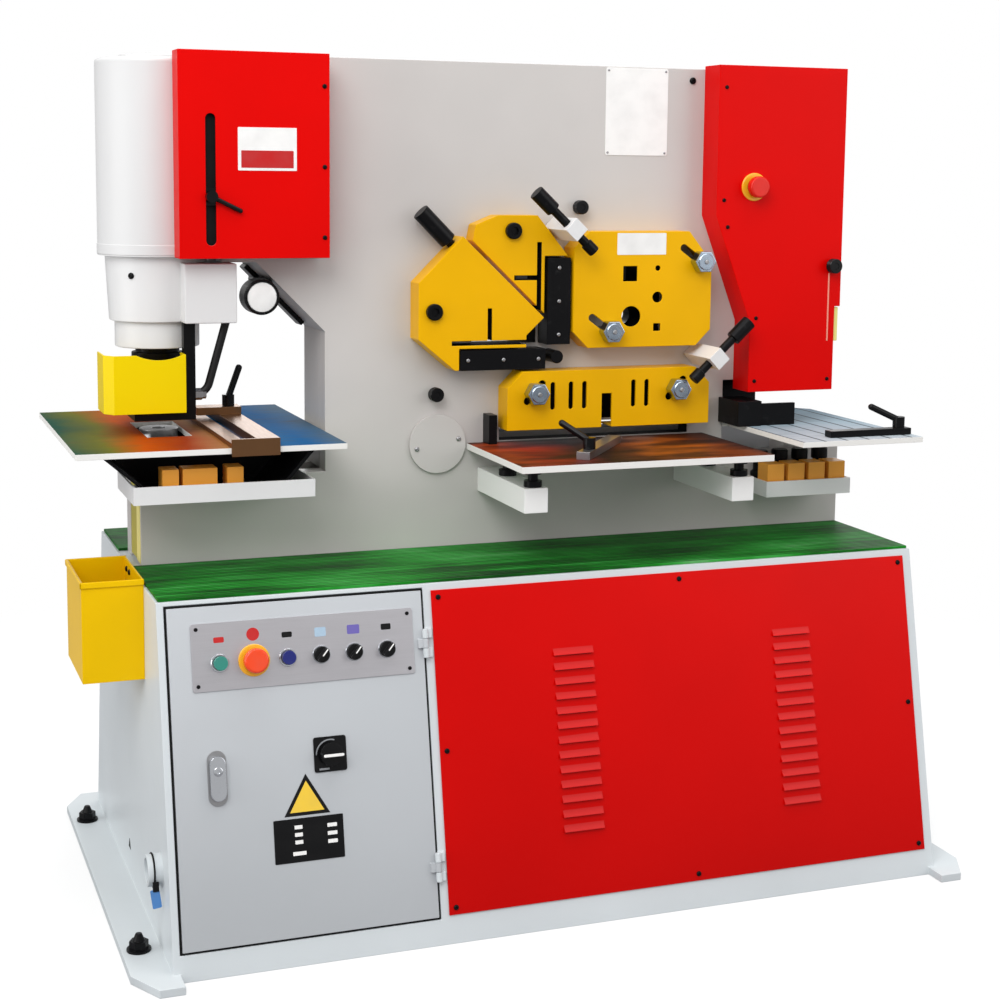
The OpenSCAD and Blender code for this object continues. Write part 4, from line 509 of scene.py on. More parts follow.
@dataclass(frozen=True)
class TableTop(Finish):
    """Ground table plate with painted reflections and shade as a colour run across its top, and painted
    edges.
    """

    stops: Stops = ()
    low: float = 0.0
    high: float = 1.0
    along: str = "X"
    rough: float = 0.22
    edge: Triple = (0.80, 0.79, 0.76)
    slots: float = 0.0
    metal: float = 0.05
    veil: float = 0.0

    def shade(self, shader: Shader) -> None:
        """Mixes the top's painted reflections with the painted edges by direction.

        Args:
            shader: the shader to fill.
        """
        top = shader.normal("Z").above(0.8)
        drift = shader.noise(5.0, 4.0) * 0.22 - 0.11
        # Painted reflection and shade: a colour run along one axis stands in for what the plate reflects and
        # for the shade on it.
        run = shader.axis(self.along).ramp(self.low, self.high) + drift
        smear = shader.noise(12.0, 6.0, (1.0, 5.0, 1.0), 0.65)
        painted_reflection = shader.blend(smear.ramp(0.52, 0.80) * 0.55, shader.colours(run, self.stops), self.colour)
        if self.veil > 0:
            film = shader.noise(6.5, 2.5, (1.0, 2.6, 1.0), 0.5).ramp(0.36, 0.60)
            painted_reflection = shader.blend(film * self.veil, painted_reflection, tint("171213"))
        if self.slots > 0:
            groove = shader.axis("X").repeat(self.slots).below(0.006)
            painted_reflection = shader.blend(groove * 0.75, painted_reflection, tint("1c2228"))
        shader.put(base_color=shader.blend(top, self.edge, painted_reflection), metallic=top * self.metal,
                   roughness=0.42 - top * (0.42 - self.rough) + smear * 0.16, specular_ior_level=0.02)
        shader.bump(smear, 0.10, 0.0004)


@dataclass(frozen=True)
class ScaleBar(Finish):
    """Steel rule with a fine line for every 5 mm and a long one for every 50 mm."""

    def shade(self, shader: Shader) -> None:
        """Engraves the lines across X at steps in Y.

        Args:
            shader: the shader to fill.
        """
        along = shader.axis("Y")
        fine = along.repeat(0.005).below(0.0011)
        long = along.repeat(0.05).below(0.0016)
        half = shader.axis("X").above(-0.548)
        up = shader.normal("Z").above(0.8)
        mark = (fine * half + long) * up
        line = shader.noise(20.0, 3.0, (30.0, 1.0, 1.0))
        shader.put(base_color=shader.blend(mark.ramp(0.0, 1.0), self.colour, tint("2a2622")),
                   metallic=1 - mark.ramp(0.0, 1.0), roughness=line * 0.15 + 0.25)


class Palette:
    """All finishes of the machine."""

    BASE = Paint("base paint", tint("d2d8db"), rough=0.36, cloud=0.04, dust=0.08)
    # The door paint is the base paint made darker: painted shade on the door face.
    DOOR = Paint("door paint", tint("c8ccd0"), rough=0.36, cloud=0.05, dust=0.08, shade_to_floor=0.26)
    PLATE_TONE = tint("cbc7c4")
    PLATE_COAT = {"rough": 0.33, "cloud": 0.06}
    # Windows of the frame plates, whose walls get painted shade.
    WINDOWS = ((-76.5, 50.5, 961.5, 1112.5), (189.5, 300.5, 971.5, 1116.5), (-20.5, 365.5, 781.5, 812.5))
    BODY = Paint("body paint", PLATE_TONE, **PLATE_COAT)
    FRONT_BODY = CutShadePaint("front plate paint", PLATE_TONE, **PLATE_COAT, cuts=WINDOWS, depth=(-38.4, 10))
    REAR_BODY = CutShadePaint("rear plate paint", PLATE_TONE, **PLATE_COAT, cuts=WINDOWS, depth=(60, 108.4))
    WHITE = Paint("white paint", tint("e0e0e0"), rough=0.30, cloud=0.02, dust=0.06)
    # The cylinder paint is the white paint made darker: painted shade that offsets the stronger light on the
    # cylinder.
    CYLINDER = Paint("cylinder paint", tint("d9d9d9"), rough=0.34, cloud=0.03, dust=0.06)
    # The arm paint is the white paint made lighter: painted light on the arms, whose fronts stand in shade.
    ARM_LIT = Paint("arm paint", tint("f4f4f2"), rough=0.34, cloud=0.02, dust=0.06)
    RED = Paint("red paint", tint("df0200"), rough=0.36, cloud=0.06, dust=0.0, gloss=0.08, top_highlight=0.35)
    PANEL = Paint("panel paint", tint("dd0200"), rough=0.34, cloud=0.06, dust=0.0, gloss=0.10, top_highlight=0.16,
                  shade_to_floor=0.28)
    # Painted highlight: a light red for the bright edge of the notch cover's fold.
    HIGHLIGHT_STRIP_PAINT = Paint("highlight strip paint", tint("f29a86"), rough=0.40, cloud=0.05, dust=0.0, gloss=0.10)
    GUARD_TONE = tint("f0b400")
    GUARD_COAT = {"rough": 0.34, "cloud": 0.10, "dust": 0.02, "gloss": 0.12}
    AMBER = Paint("guard paint", GUARD_TONE, **GUARD_COAT)
    # Cuts of the guards, whose walls get painted shade.
    ANGLE = CutShadePaint("angle guard paint", GUARD_TONE, **GUARD_COAT, depth=(-88.3, 0), cuts=(
        (-130.4, 60, 963.6, 972.4), (-62.4, -53.6, 965, 1030.4), (35.6, 44.4, 1011, 1148.4),
        (-8.4, 44, 1079.6, 1088.4)))
    SECTION = CutShadePaint("section guard paint", GUARD_TONE, **GUARD_COAT, depth=(-88.5, 0), cuts=(
        (202.6, 231.4, 1075.6, 1104.4), (200.6, 239.4, 991.6, 1030.4), (262.6, 283.4, 1035.6, 1056.4),
        (267.6, 278.4, 1094.6, 1105.4), (265.6, 280.4, 982.6, 997.4)))
    LEMON = Paint("bin paint", tint("f4d600"), rough=0.30, cloud=0.06, dust=0.02, gloss=0.12)
    ORANGE = Paint("tool paint", tint("f8aa40"), rough=0.34, cloud=0.10, dust=0.12)
    MAT = RibbedMat("ribbed mat", tint("157a1c"))
    OXIDE = Oxide("black steel", tint("0b0b0d"), rough=0.32)
    GLOSS_BLACK = Plastic("black plastic", tint("09090b"), rough=0.24, gloss=0.22, fading=0.003)
    SEAL = Plastic("black seal", tint("0a0a0b"), rough=0.62, grain=0.15, gloss=0.2, fading=0.004)
    RUBBER = Plastic("hose rubber", tint("0e0e0f"), rough=0.50, grain=0.2, gloss=0.3, fading=0.006)
    STEEL = Metal("worked steel", tint("a6a6a8"))
    CHROME = Metal("bright plate", tint("c9ccd1"), rough=0.16, grain=(8, 8, 8), soil=0.08)
    ALUMINIUM = Metal("control plate", tint("c4c2c6"), rough=0.42, grain=(1, 40, 40), soil=0.05)
    RULE = ScaleBar("steel rule", tint("8a6444"))
    KNOB = Metal("plated knob", tint("a9b6c4"), rough=0.24, grain=(6, 6, 6), soil=0.35,
                 stain=(0.05, 0.06, 0.08))
    BIN = Paint("bin lip paint", tint("f2c200"), rough=0.30, cloud=0.08, dust=0.02, gloss=0.12)
    CREAM = Paint("end paint", tint("f0e58a"), rough=0.40, cloud=0.06, dust=0.05)
    OLIVE = Paint("bar paint", tint("b9ad3c"), rough=0.42, cloud=0.10, dust=0.10)
    TAG = Plastic("tag card", tint("4f86c6"), rough=0.45)
    GREEN = Plastic("green cap", tint("2f8577"), rough=0.20)
    BLUE = Plastic("blue cap", tint("121e6e"), rough=0.20)
    SCARLET = Plastic("stop cap", tint("ee4410"), rough=0.22)
    STOP_RED = Plastic("notch stop cap", tint("dc2216"), rough=0.26, gloss=0.3, fading=0.0)
    RING = Plastic("stop ring", tint("f5b21c"), rough=0.30)
    PALE = Plastic("pale print", tint("f1f0ee"), rough=0.40)
    GREY_PRINT = Plastic("grey print", tint("8d9094"), rough=0.40)
    LENS = Plastic("lamp lens", tint("f4f4f2"), rough=0.12)
    DARK_RED = Plastic("red print", tint("c01010"), rough=0.35)
    VIOLET = Plastic("violet print", tint("6a5fb0"), rough=0.40)
    SKY = Plastic("light blue print", tint("a9c3d8"), rough=0.40)
    YELLOW_PRINT = Plastic("yellow print", tint("f0c83c"), rough=0.35)
    PACK = Paint("hydraulic paint", tint("5d6672"), rough=0.40)
    GEAR = Plastic("switchgear plastic", tint("b9bbbf"), rough=0.45)
    # Table tops: their colour runs are painted reflections and painted shade.
    PUNCH_TOP = TableTop("punch table plate", tint("5c4a38"), low=-0.812, high=-0.364, rough=0.58, stops=(
        (0.00, tint("1f4a3a")), (0.12, tint("62621e")), (0.26, tint("b04a08")), (0.42, tint("8c2e04")),
        (0.56, tint("9a6a3c")), (0.66, tint("0c5c8a")), (0.84, tint("06568c")), (1.00, tint("4c6478"))))
    SHEAR_TOP = TableTop("shear table plate", tint("4a342a"), low=-0.084, high=0.397, rough=0.36, veil=0.86,
                         stops=(
        (0.00, tint("a8481c")), (0.16, tint("8e2a16")), (0.36, tint("2c2020")), (0.52, tint("5a2c18")),
        (0.68, tint("b4601c")), (0.84, tint("8a4418")), (1.00, tint("3a2c2a"))))
    NOTCH_TOP = TableTop("notch table plate", tint("6f7f8c"), along="Y", low=-0.35, high=0.11, rough=0.50,
                         slots=0.045, stops=(
        (0.0, tint("b6bec4")), (0.5, tint("92a5b0")), (1.0, tint("5c7281"))))


class Bench:
    """Modelling by hand: primitives shaped with operators, left at the origin."""

    SMOOTH = math.radians(35)
    SHARP = math.radians(30)
    FLAT = math.radians(0.4)
    WELD = 2e-5
    FILL = 1e-3
    SAME = 1e-6
    CORNER_STEPS = 6

    @staticmethod
    def clear() -> None:
        """Deselects everything in object mode."""
        if bpy.context.object is not None and bpy.context.object.mode != "OBJECT":
            bpy.ops.object.mode_set(mode="OBJECT")
        bpy.ops.object.select_all(action="DESELECT")

    @staticmethod
    def name(label: str) -> bpy.types.Object:
        """Names the active object and its mesh."""
        piece = bpy.context.object
        piece.name = label
        piece.data.name = label
        return piece

    @staticmethod
    def apply(piece: bpy.types.Object) -> None:
        """Puts the object's own place into its mesh."""
        Bench.only(piece)
        bpy.ops.object.transform_apply(location=True, rotation=True, scale=True)

    @staticmethod
    def only(piece: bpy.types.Object) -> None:
        """Selects one object alone."""
        Bench.clear()
        piece.select_set(True)
        bpy.context.view_layer.objects.active = piece

    @staticmethod
    def soften(piece: bpy.types.Object, width: float, segments: int = 2) -> None:
        """Rounds the sharp edges with a bevel and smooths the shading.

        Args:
            piece: the object.
            width: bevel width in mm.
            segments: steps of the rounding.
        """
        Bench.only(piece)
        if width > 0:
            bevel = piece.modifiers.new("edge", "BEVEL")
            bevel.width = width * MM
            bevel.segments = segments
            bevel.limit_method = "ANGLE"
            bevel.angle_limit = Bench.SHARP
            bevel.use_clamp_overlap = False
            bevel.loop_slide = False
            bevel.face_strength_mode = "FSTR_ALL"
            bpy.ops.object.modifier_apply(modifier=bevel.name)
        bpy.ops.object.shade_smooth_by_angle(angle=Bench.SMOOTH)
        even = piece.modifiers.new("even", "WEIGHTED_NORMAL")
        even.mode = "FACE_AREA"
        even.weight = 100
        even.keep_sharp = True
        even.use_face_influence = width > 0
        bpy.ops.object.modifier_apply(modifier=even.name)

    @staticmethod
    def move(piece: bpy.types.Object, where: Matrix) -> bpy.types.Object:
        """Puts a finished piece in its place, in its mesh.

        Args:
            piece: the object.
            where: the place's matrix.

        Returns:
            The same object.
        """
        piece.data.transform(where)
        piece.data.update()
        return piece

    @staticmethod
    def trim(piece: bpy.types.Object, away: Triple) -> None:
        """Cuts a piece through the origin and closes the cut.

        Args:
            piece: the piece.
            away: direction of the side that goes.
        """
        Bench.only(piece)
        bpy.ops.object.mode_set(mode="EDIT")
        bpy.ops.mesh.select_all(action="SELECT")
        bpy.ops.mesh.bisect(plane_co=(0, 0, 0), plane_no=away, use_fill=True, clear_outer=True)
        bpy.ops.object.mode_set(mode="OBJECT")

    @staticmethod
    def cut(piece: bpy.types.Object, cutter: bpy.types.Object) -> None:
        """Takes the cutter's shape out of a piece; the cutter is used up.

        Args:
            piece: the object that is cut.
            cutter: the object that cuts.
        """
        Bench.only(piece)
        hole = piece.modifiers.new("hole", "BOOLEAN")
        hole.operation = "DIFFERENCE"
        hole.solver = "EXACT"
        hole.object = cutter
        bpy.ops.object.modifier_apply(modifier=hole.name)
        Bench.discard(cutter)

    @staticmethod
    def spread(piece: bpy.types.Object, places: Sequence[Matrix]) -> bpy.types.Object:
        """Copies a piece to several places and joins the copies.

        Args:
            piece: the pattern, which is used up.
            places: one matrix for each copy.

        Returns:
            The joined object under the pattern's name.
        """
        label = piece.name
        twins: List[bpy.types.Object] = []
        for where in places:
            twin = piece.copy()
            twin.data = piece.data.copy()
            twin.data.transform(where)
            bpy.context.scene.collection.objects.link(twin)
            twins.append(twin)
        Bench.discard(piece)
        return Bench.join(label, twins)

    @staticmethod
    def join(label: str, pieces: Sequence[bpy.types.Object]) -> bpy.types.Object:
        """Joins pieces into one object.

        Args:
            label: the joined object's name.
            pieces: the objects.

        Returns:
            The joined object.
        """
        Bench.clear()
        for each in pieces:
            each.select_set(True)
        bpy.context.view_layer.objects.active = pieces[0]
        if len(pieces) > 1:
            bpy.ops.object.join()
        return Bench.name(label)

    @staticmethod
    def formed(node: str, width: float, segments: int) -> bpy.types.Object:
        """A copy of a solid with its edges rounded as folded or ground edges are.

        Args:
            node: the solid's name.
            width: bevel width in mm.
            segments: steps of the rounding.

        Returns:
            The new object, which stands for the solid.
        """
        source = frame["nodes"][node]
        for merge in (True, False):
            twin = bpy.data.objects.new(node + "_formed", source.data.copy())
            twin.data.name = twin.name
            bpy.context.scene.collection.objects.link(twin)
            Bench.only(twin)
            bpy.ops.mesh.customdata_custom_splitnormals_clear()
            bpy.ops.object.mode_set(mode="EDIT")
            bpy.ops.mesh.select_mode(type="VERT")
            bpy.ops.mesh.select_all(action="SELECT")
            bpy.ops.mesh.remove_doubles(threshold=Bench.WELD)
            if merge:
                bpy.ops.mesh.dissolve_limited(angle_limit=Bench.FLAT)
            bpy.ops.object.mode_set(mode="OBJECT")
            Bench.soften(twin, width, segments)
            if not merge or Bench.filled(twin):
                break
            LOG.info("%s keeps its triangles", node)
            Bench.discard(twin)
        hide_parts(node)
        return twin

    @staticmethod
    def filled(piece: bpy.types.Object) -> bool:
        """Tells if every face fills to its own area, with no opening covered."""
        mesh = piece.data
        mesh.calc_loop_triangles()
        drawn = sum(part.area for part in mesh.loop_triangles)
        return abs(drawn / sum(face.area for face in mesh.polygons) - 1) < Bench.FILL

    @staticmethod
    def discard(piece: bpy.types.Object) -> None:
        """Removes an object and its mesh."""
        old = piece.data
        bpy.data.objects.remove(piece)
        bpy.data.meshes.remove(old)


class Shape:
    """A shape that is modelled at the origin; all its sizes are in mm."""

    def model(self, label: str) -> bpy.types.Object:
        """The shape as a new object of that name; each kind has its own."""
        raise NotImplementedError(label)


@dataclass(frozen=True)
class Bars(Shape):
    """Boxes joined into one piece: their lowest and highest corners, and the rounding of the edges."""

    boxes: Tuple[Box, ...]
    edge: float
    segments: int = 2

    def model(self, label: str) -> bpy.types.Object:
        """Scales a cube to each box, rounds it and joins them.

        Args:
            label: the piece's name.

        Returns:
            The new object.
        """
        pieces = []
        for low, high in self.boxes:
            Bench.clear()
            bpy.ops.mesh.primitive_cube_add(size=1, location=[(a + b) / 2 * MM for a, b in zip(low, high)])
            piece = Bench.name(label)
            piece.scale = [(b - a) * MM for a, b in zip(low, high)]
            Bench.apply(piece)
            Bench.soften(piece, self.edge, self.segments)
            pieces.append(piece)
        return Bench.join(label, pieces)


@dataclass(frozen=True)
class Sheet(Shape):
    """A flat plate around the origin, standing on height zero; edge is the bevel of its rim."""

    width: float
    height: float
    thick: float
    corner: float
    edge: float = 0.4

    def model(self, label: str) -> bpy.types.Object:
        """Rounds the corners of a plane and extrudes it.

        Args:
            label: the piece's name.

        Returns:
            The new object.
        """
        Bench.clear()
        bpy.ops.mesh.primitive_plane_add(size=1)
        piece = Bench.name(label)
        piece.scale = (self.width * MM, self.height * MM, 1)
        Bench.apply(piece)
        bpy.ops.object.mode_set(mode="EDIT")
        bpy.ops.mesh.select_all(action="SELECT")
        bpy.ops.mesh.bevel(offset=self.corner * MM, segments=Bench.CORNER_STEPS, affect="VERTICES")
        bpy.ops.mesh.select_all(action="SELECT")
        bpy.ops.mesh.extrude_region_move(TRANSFORM_OT_translate={"value": (0, 0, self.thick * MM)})
        bpy.ops.mesh.select_all(action="SELECT")
        bpy.ops.mesh.normals_make_consistent(inside=False)
        bpy.ops.object.mode_set(mode="OBJECT")
        Bench.soften(piece, self.edge)
        return piece


@dataclass(frozen=True)
class Lathe(Shape):
    """A turned shape: radius and height of each step; a hole joins the last step to the first disc."""

    steps: Sequence[Pair]
    sides: int = 32
    hole: bool = False

    def model(self, label: str) -> bpy.types.Object:
        """Extrudes and scales a disc step by step along Z.

        Args:
            label: the piece's name.

        Returns:
            The new object.
        """
        Bench.clear()
        radius, level = self.steps[0]
        bpy.ops.mesh.primitive_circle_add(vertices=self.sides, radius=radius * MM, fill_type="NGON",
                                          location=(0, 0, level * MM))
        piece = Bench.name(label)
        Bench.apply(piece)
        bpy.ops.object.mode_set(mode="EDIT")
        bpy.ops.mesh.select_mode(type="FACE")
        bpy.ops.mesh.select_all(action="SELECT")
        for wide, high in self.steps[1:]:
            bpy.ops.mesh.extrude_region_move(TRANSFORM_OT_translate={"value": (0, 0, (high - level) * MM)})
            ratio = wide / radius
            if abs(ratio - 1) > Bench.SAME:
                bpy.ops.transform.resize(value=(ratio, ratio, 1), center_override=(0, 0, high * MM))
            radius, level = wide, high
        if self.hole:
            bpy.ops.mesh.select_face_by_sides(number=self.sides, type="EQUAL", extend=False)
            bpy.ops.mesh.delete(type="ONLY_FACE")
            bpy.ops.mesh.select_mode(type="EDGE")
            bpy.ops.mesh.select_non_manifold(extend=False, use_wire=False, use_multi_face=False,
                                             use_non_contiguous=False, use_verts=False)
            bpy.ops.mesh.bridge_edge_loops()
        bpy.ops.mesh.select_mode(type="VERT")
        bpy.ops.mesh.select_all(action="SELECT")
        bpy.ops.mesh.normals_make_consistent(inside=False)
        bpy.ops.object.mode_set(mode="OBJECT")
        Bench.soften(piece, 0.0)
        return piece


@dataclass(frozen=True)
class HoledBar(Shape):
    """A box with holes along Y: X, Z and half side of the square ones, X, Z and radius of the round."""

    box: Box
    edge: float
    squares: Tuple[Triple, ...]
    rounds: Tuple[Triple, ...]
    near: float = -60.0
    far: float = 20.0

    def model(self, label: str) -> bpy.types.Object:
        """Cuts the holes and then rounds the edges.

        Args:
            label: the piece's name.

        Returns:
            The new object.
        """
        bar = Bars((self.box,), 0.0).model(label)
        for x, z, half in self.squares:
            hole = ((x - half, self.near, z - half), (x + half, self.far, z + half))
            Bench.cut(bar, Bars((hole,), 0.0).model("cutter"))
        for x, z, radius in self.rounds:
            cutter = Lathe(((radius, -self.far), (radius, -self.near))).model("cutter")
            Bench.cut(bar, Bench.move(cutter, place(Facing.FRONT, x, z, 0)))
        Bench.soften(bar, self.edge)
        return bar


@dataclass(frozen=True)
class Arc(Shape):
    """Part of a flat ring; away holds the directions of the sides that are cut off."""

    ring: Lathe
    away: Tuple[Triple, ...]

    def model(self, label: str) -> bpy.types.Object:
        """Trims the ring.

        Args:
            label: the piece's name.

        Returns:
            The new object.
        """
        arc = self.ring.model(label)
        for side in self.away:
            Bench.trim(arc, side)
        return arc


@dataclass(frozen=True)
class Joined(Shape):
    """Flat shapes at their spots on one face, as one piece."""

    parts: Tuple[Tuple[Shape, Pair], ...]

    def model(self, label: str) -> bpy.types.Object:
        """The shapes at their spots, joined under that name."""
        pieces = [Bench.move(shape.model(label), place(Facing.UP, *spot, 0)) for shape, spot in self.parts]
        return Bench.join(label, pieces)


BODY_OF = {node: body for body, nodes in frame["record"]["behaviour"]["bodies"].items() for node in nodes}


def dress(piece: bpy.types.Object, finish: Finish, body: str) -> None:
    """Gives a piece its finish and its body.

    Args:
        piece: the object.
        finish: its surface.
        body: the body that it rides on.
    """
    piece.data.materials.clear()
    piece.data.materials.append(finish.material())
    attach(piece, body)
    LOG.info("%s on %s", piece.name, body)


@dataclass
class Solids:
    """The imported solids: finish, rounding of the edges in mm, and the nodes that have them."""

    segments: int = 2
    groups: Tuple[Tuple[Finish, float, str], ...] = (
        (Palette.BASE, 1.6, "base_frame"), (Palette.DOOR, 0.9, "door"), (Palette.PACK, 6.0, "power_pack"),
        (Palette.GEAR, 2.0, "switchgear"), (Palette.PANEL, 0.7, "louvre_panel"), (Palette.MAT, 1.0, "mat"),
        (Palette.BIN, 0.8, "bin"), (Palette.FRONT_BODY, 1.4, "front_plate"),
        (Palette.REAR_BODY, 1.4, "rear_plate"), (Palette.BODY, 1.2, "pivot_pin"),
        (Palette.PACK, 2.0, "shear_cylinder"), (Palette.ANGLE, 1.6, "angle_guards"),
        (Palette.SECTION, 1.2, "section_guard"), (Palette.AMBER, 1.2, "flat_guard"),
        (Palette.OXIDE, 0.8, "foot_bolts tool_box table_screws notch_stop"),
        (Palette.OXIDE, 1.0, "fixed_blades stripper notch_guard"),
        (Palette.OXIDE, 1.2, "notch_ram punch_ram"),
        (Palette.OXIDE, 1.5, "shear_beam screw_a screw_b screw_c"), (Palette.KNOB, 2.2, "guard_knobs"),
        (Palette.STEEL, 0.8, "shear_fence notch_die punch"), (Palette.STEEL, 1.0, "die_block"),
        (Palette.WHITE, 0.8, "tool_trays"), (Palette.WHITE, 1.2, "holddown_blocks"),
        (Palette.WHITE, 2.5, "punch_guide"), (Palette.CYLINDER, 0.0, "punch_cylinder"),
        (Palette.RED, 1.2, "punch_cover notch_cover"), (Palette.LEMON, 0.7, "stripper_guard"),
        (Palette.RUBBER, 0.0, "hose"), (Palette.ORANGE, 1.6, "tool_blocks"), (Palette.ARM_LIT, 1.8, "table_arms"),
        (Palette.PUNCH_TOP, 0.8, "punch_table"), (Palette.SHEAR_TOP, 1.0, "shear_table"),
        (Palette.NOTCH_TOP, 0.8, "notch_table"), (Palette.RULE, 0.8, "punch_rails"),
        (Palette.GLOSS_BLACK, 1.5, "lamp"),
        (Palette.GLOSS_BLACK, 0.0, "stroke_lever gauge_lever fence_lever notch_lever"),
        (Palette.GLOSS_BLACK, 0.8, "selector_a selector_b selector_c"),
        (Palette.GLOSS_BLACK, 1.0, "switch_handle"), (Palette.STOP_RED, 0.0, "notch_estop"),
        (Palette.SCARLET, 0.0, "estop_button"), (Palette.GREEN, 1.0, "green_button"),
        (Palette.BLUE, 1.0, "blue_button"), (Palette.CHROME, 1.6, "door_lock"))

    def build(self) -> None:
        """Dresses every solid, with rounded edges where it has sharp ones."""
        for finish, width, nodes in self.groups:
            for node in nodes.split():
                if width > 0:
                    dress(Bench.formed(node, width, self.segments), finish, BODY_OF[node])
                else:
                    solid = frame["nodes"][node]
                    solid.data.materials.clear()
                    solid.data.materials.append(finish.material())


class Look(Enum):
    """Finish and slot of each kind of small fitting."""

    BLACK_STEEL = (Palette.OXIDE, "black_steel")
    STEEL = (Palette.STEEL, "steel")
    CONTROL_PLATE = (Palette.ALUMINIUM, "steel")
    CHROME = (Palette.CHROME, "lock_chrome")
    CLAMP = (Palette.KNOB, "knob_grey")
    BLACK_PLASTIC = (Palette.GLOSS_BLACK, "black_plastic")
    SEAL = (Palette.SEAL, "black_plastic")
    RING = (Palette.RING, "bin_yellow")
    BIN = (Palette.BIN, "bin_yellow")
    SIDE_STRIP = (Palette.CREAM, "bin_yellow")
    END_REFLECTION = (Palette.CREAM, "guard_yellow")
    END_BAR = (Palette.OLIVE, "guard_yellow")
    COVER_HIGHLIGHT = (Palette.HIGHLIGHT_STRIP_PAINT, "red_paint")
    COVER_FIELD = (Palette.DARK_RED, "red_paint")
    CYLINDER = (Palette.CYLINDER, "white_paint")
    LENS = (Palette.LENS, "white_paint")
    PALE_PRINT = (Palette.PALE, "white_paint")
    GREY_PRINT = (Palette.GREY_PRINT, "white_paint")
    YELLOW_PRINT = (Palette.YELLOW_PRINT, "bin_yellow")
    RED_PRINT = (Palette.DARK_RED, "red_plastic")
    SKY_PRINT = (Palette.SKY, "blue_plastic")
    VIOLET_PRINT = (Palette.VIOLET, "blue_plastic")
    TAG = (Palette.TAG, "blue_plastic")


def on(facing: Facing, off: float, *spots: Pair) -> Tuple[Spot, ...]:
    """Places on one surface; off is its level, as for place()."""
    return tuple((facing, x, v, off) for x, v in spots)


@dataclass(frozen=True)
class Fitting:
    """A small piece: its name, shape, look, places, body, and turn in its own plane in degrees."""

    label: str
    shape: Shape
    look: Look
    spots: Tuple[Spot, ...] = ((Facing.UP, 0, 0, 0),)
    body: str = "base"
    turn: float = 0.0

    def build(self) -> None:
        """Models the piece once, copies it to its places and dresses it."""
        turn = Matrix.Rotation(math.radians(self.turn), 4, "Z")
        piece = Bench.spread(self.shape.model(self.label), [place(*spot) @ turn for spot in self.spots])
        finish, slot = self.look.value
        dress(piece, finish, self.body)


class Trim:
    """A sub-assembly of small pieces."""

    def fittings(self) -> List[Fitting]:
        """The pieces in order; each sub-assembly has its own."""
        raise NotImplementedError

    def build(self) -> None:
        """Makes and dresses every piece."""
        for each in self.fittings():
            each.build()


class Hardware:
    """Shapes of the turned parts that repeat, standing on height zero, in mm."""

    HEAD = 5.0
    RISE = 3.0
    SUNK = 0.3
    RIDGES = 5
    STOP_RISE = 3.2
    STOP_RING = Lathe(((26.0, 0), (26.0, 2.2), (24.6, STOP_RISE), (9.6, STOP_RISE), (9.4, 0)), 48, True)
    STOP_COLLAR = Lathe(((15.5, 0), (15.5, 1.6), (14.6, 2.2), (9.2, 2.2), (9.0, 0)), hole=True)

    @staticmethod
    def screw(scale: float) -> Lathe:
        """A button head with its socket.

        Args:
            scale: size against the usual head.

        Returns:
            The shape.
        """
        r, h = Hardware.HEAD * scale, Hardware.RISE * scale
        return Lathe(((r, -Hardware.SUNK), (r, h * 0.35), (r * 0.88, h * 0.75), (r * 0.62, h), (r * 0.42, h),
                      (r * 0.38, h * 0.45)), 18)

    @staticmethod
    def bolt(r: float) -> Lathe:
        """A round bolt head of that radius with a deep socket."""
        return Lathe(((r, -0.5), (r, 7.5), (r - 1.4, 9), (r * 0.52, 9), (r * 0.48, 4)), 36)

    @staticmethod
    def knob(r: float, length: float) -> Lathe:
        """A ridged knob on a short stem.

        Args:
            r: radius in mm.
            length: height in mm.

        Returns:
            The shape.
        """
        steps = [(r * 0.5, -0.5), (r * 0.5, length * 0.25), (r * 0.9, length * 0.25), (r, length * 0.32)]
        for i in range(Hardware.RIDGES):
            low = 0.36 + 0.52 * i / Hardware.RIDGES
            steps += [(r, length * low), (r * 0.94, length * (low + 0.03)), (r, length * (low + 0.07))]
        steps += [(r, length * 0.94), (r * 0.9, length), (r * 0.45, length), (r * 0.40, length * 0.93)]
        return Lathe(tuple(steps), 28)


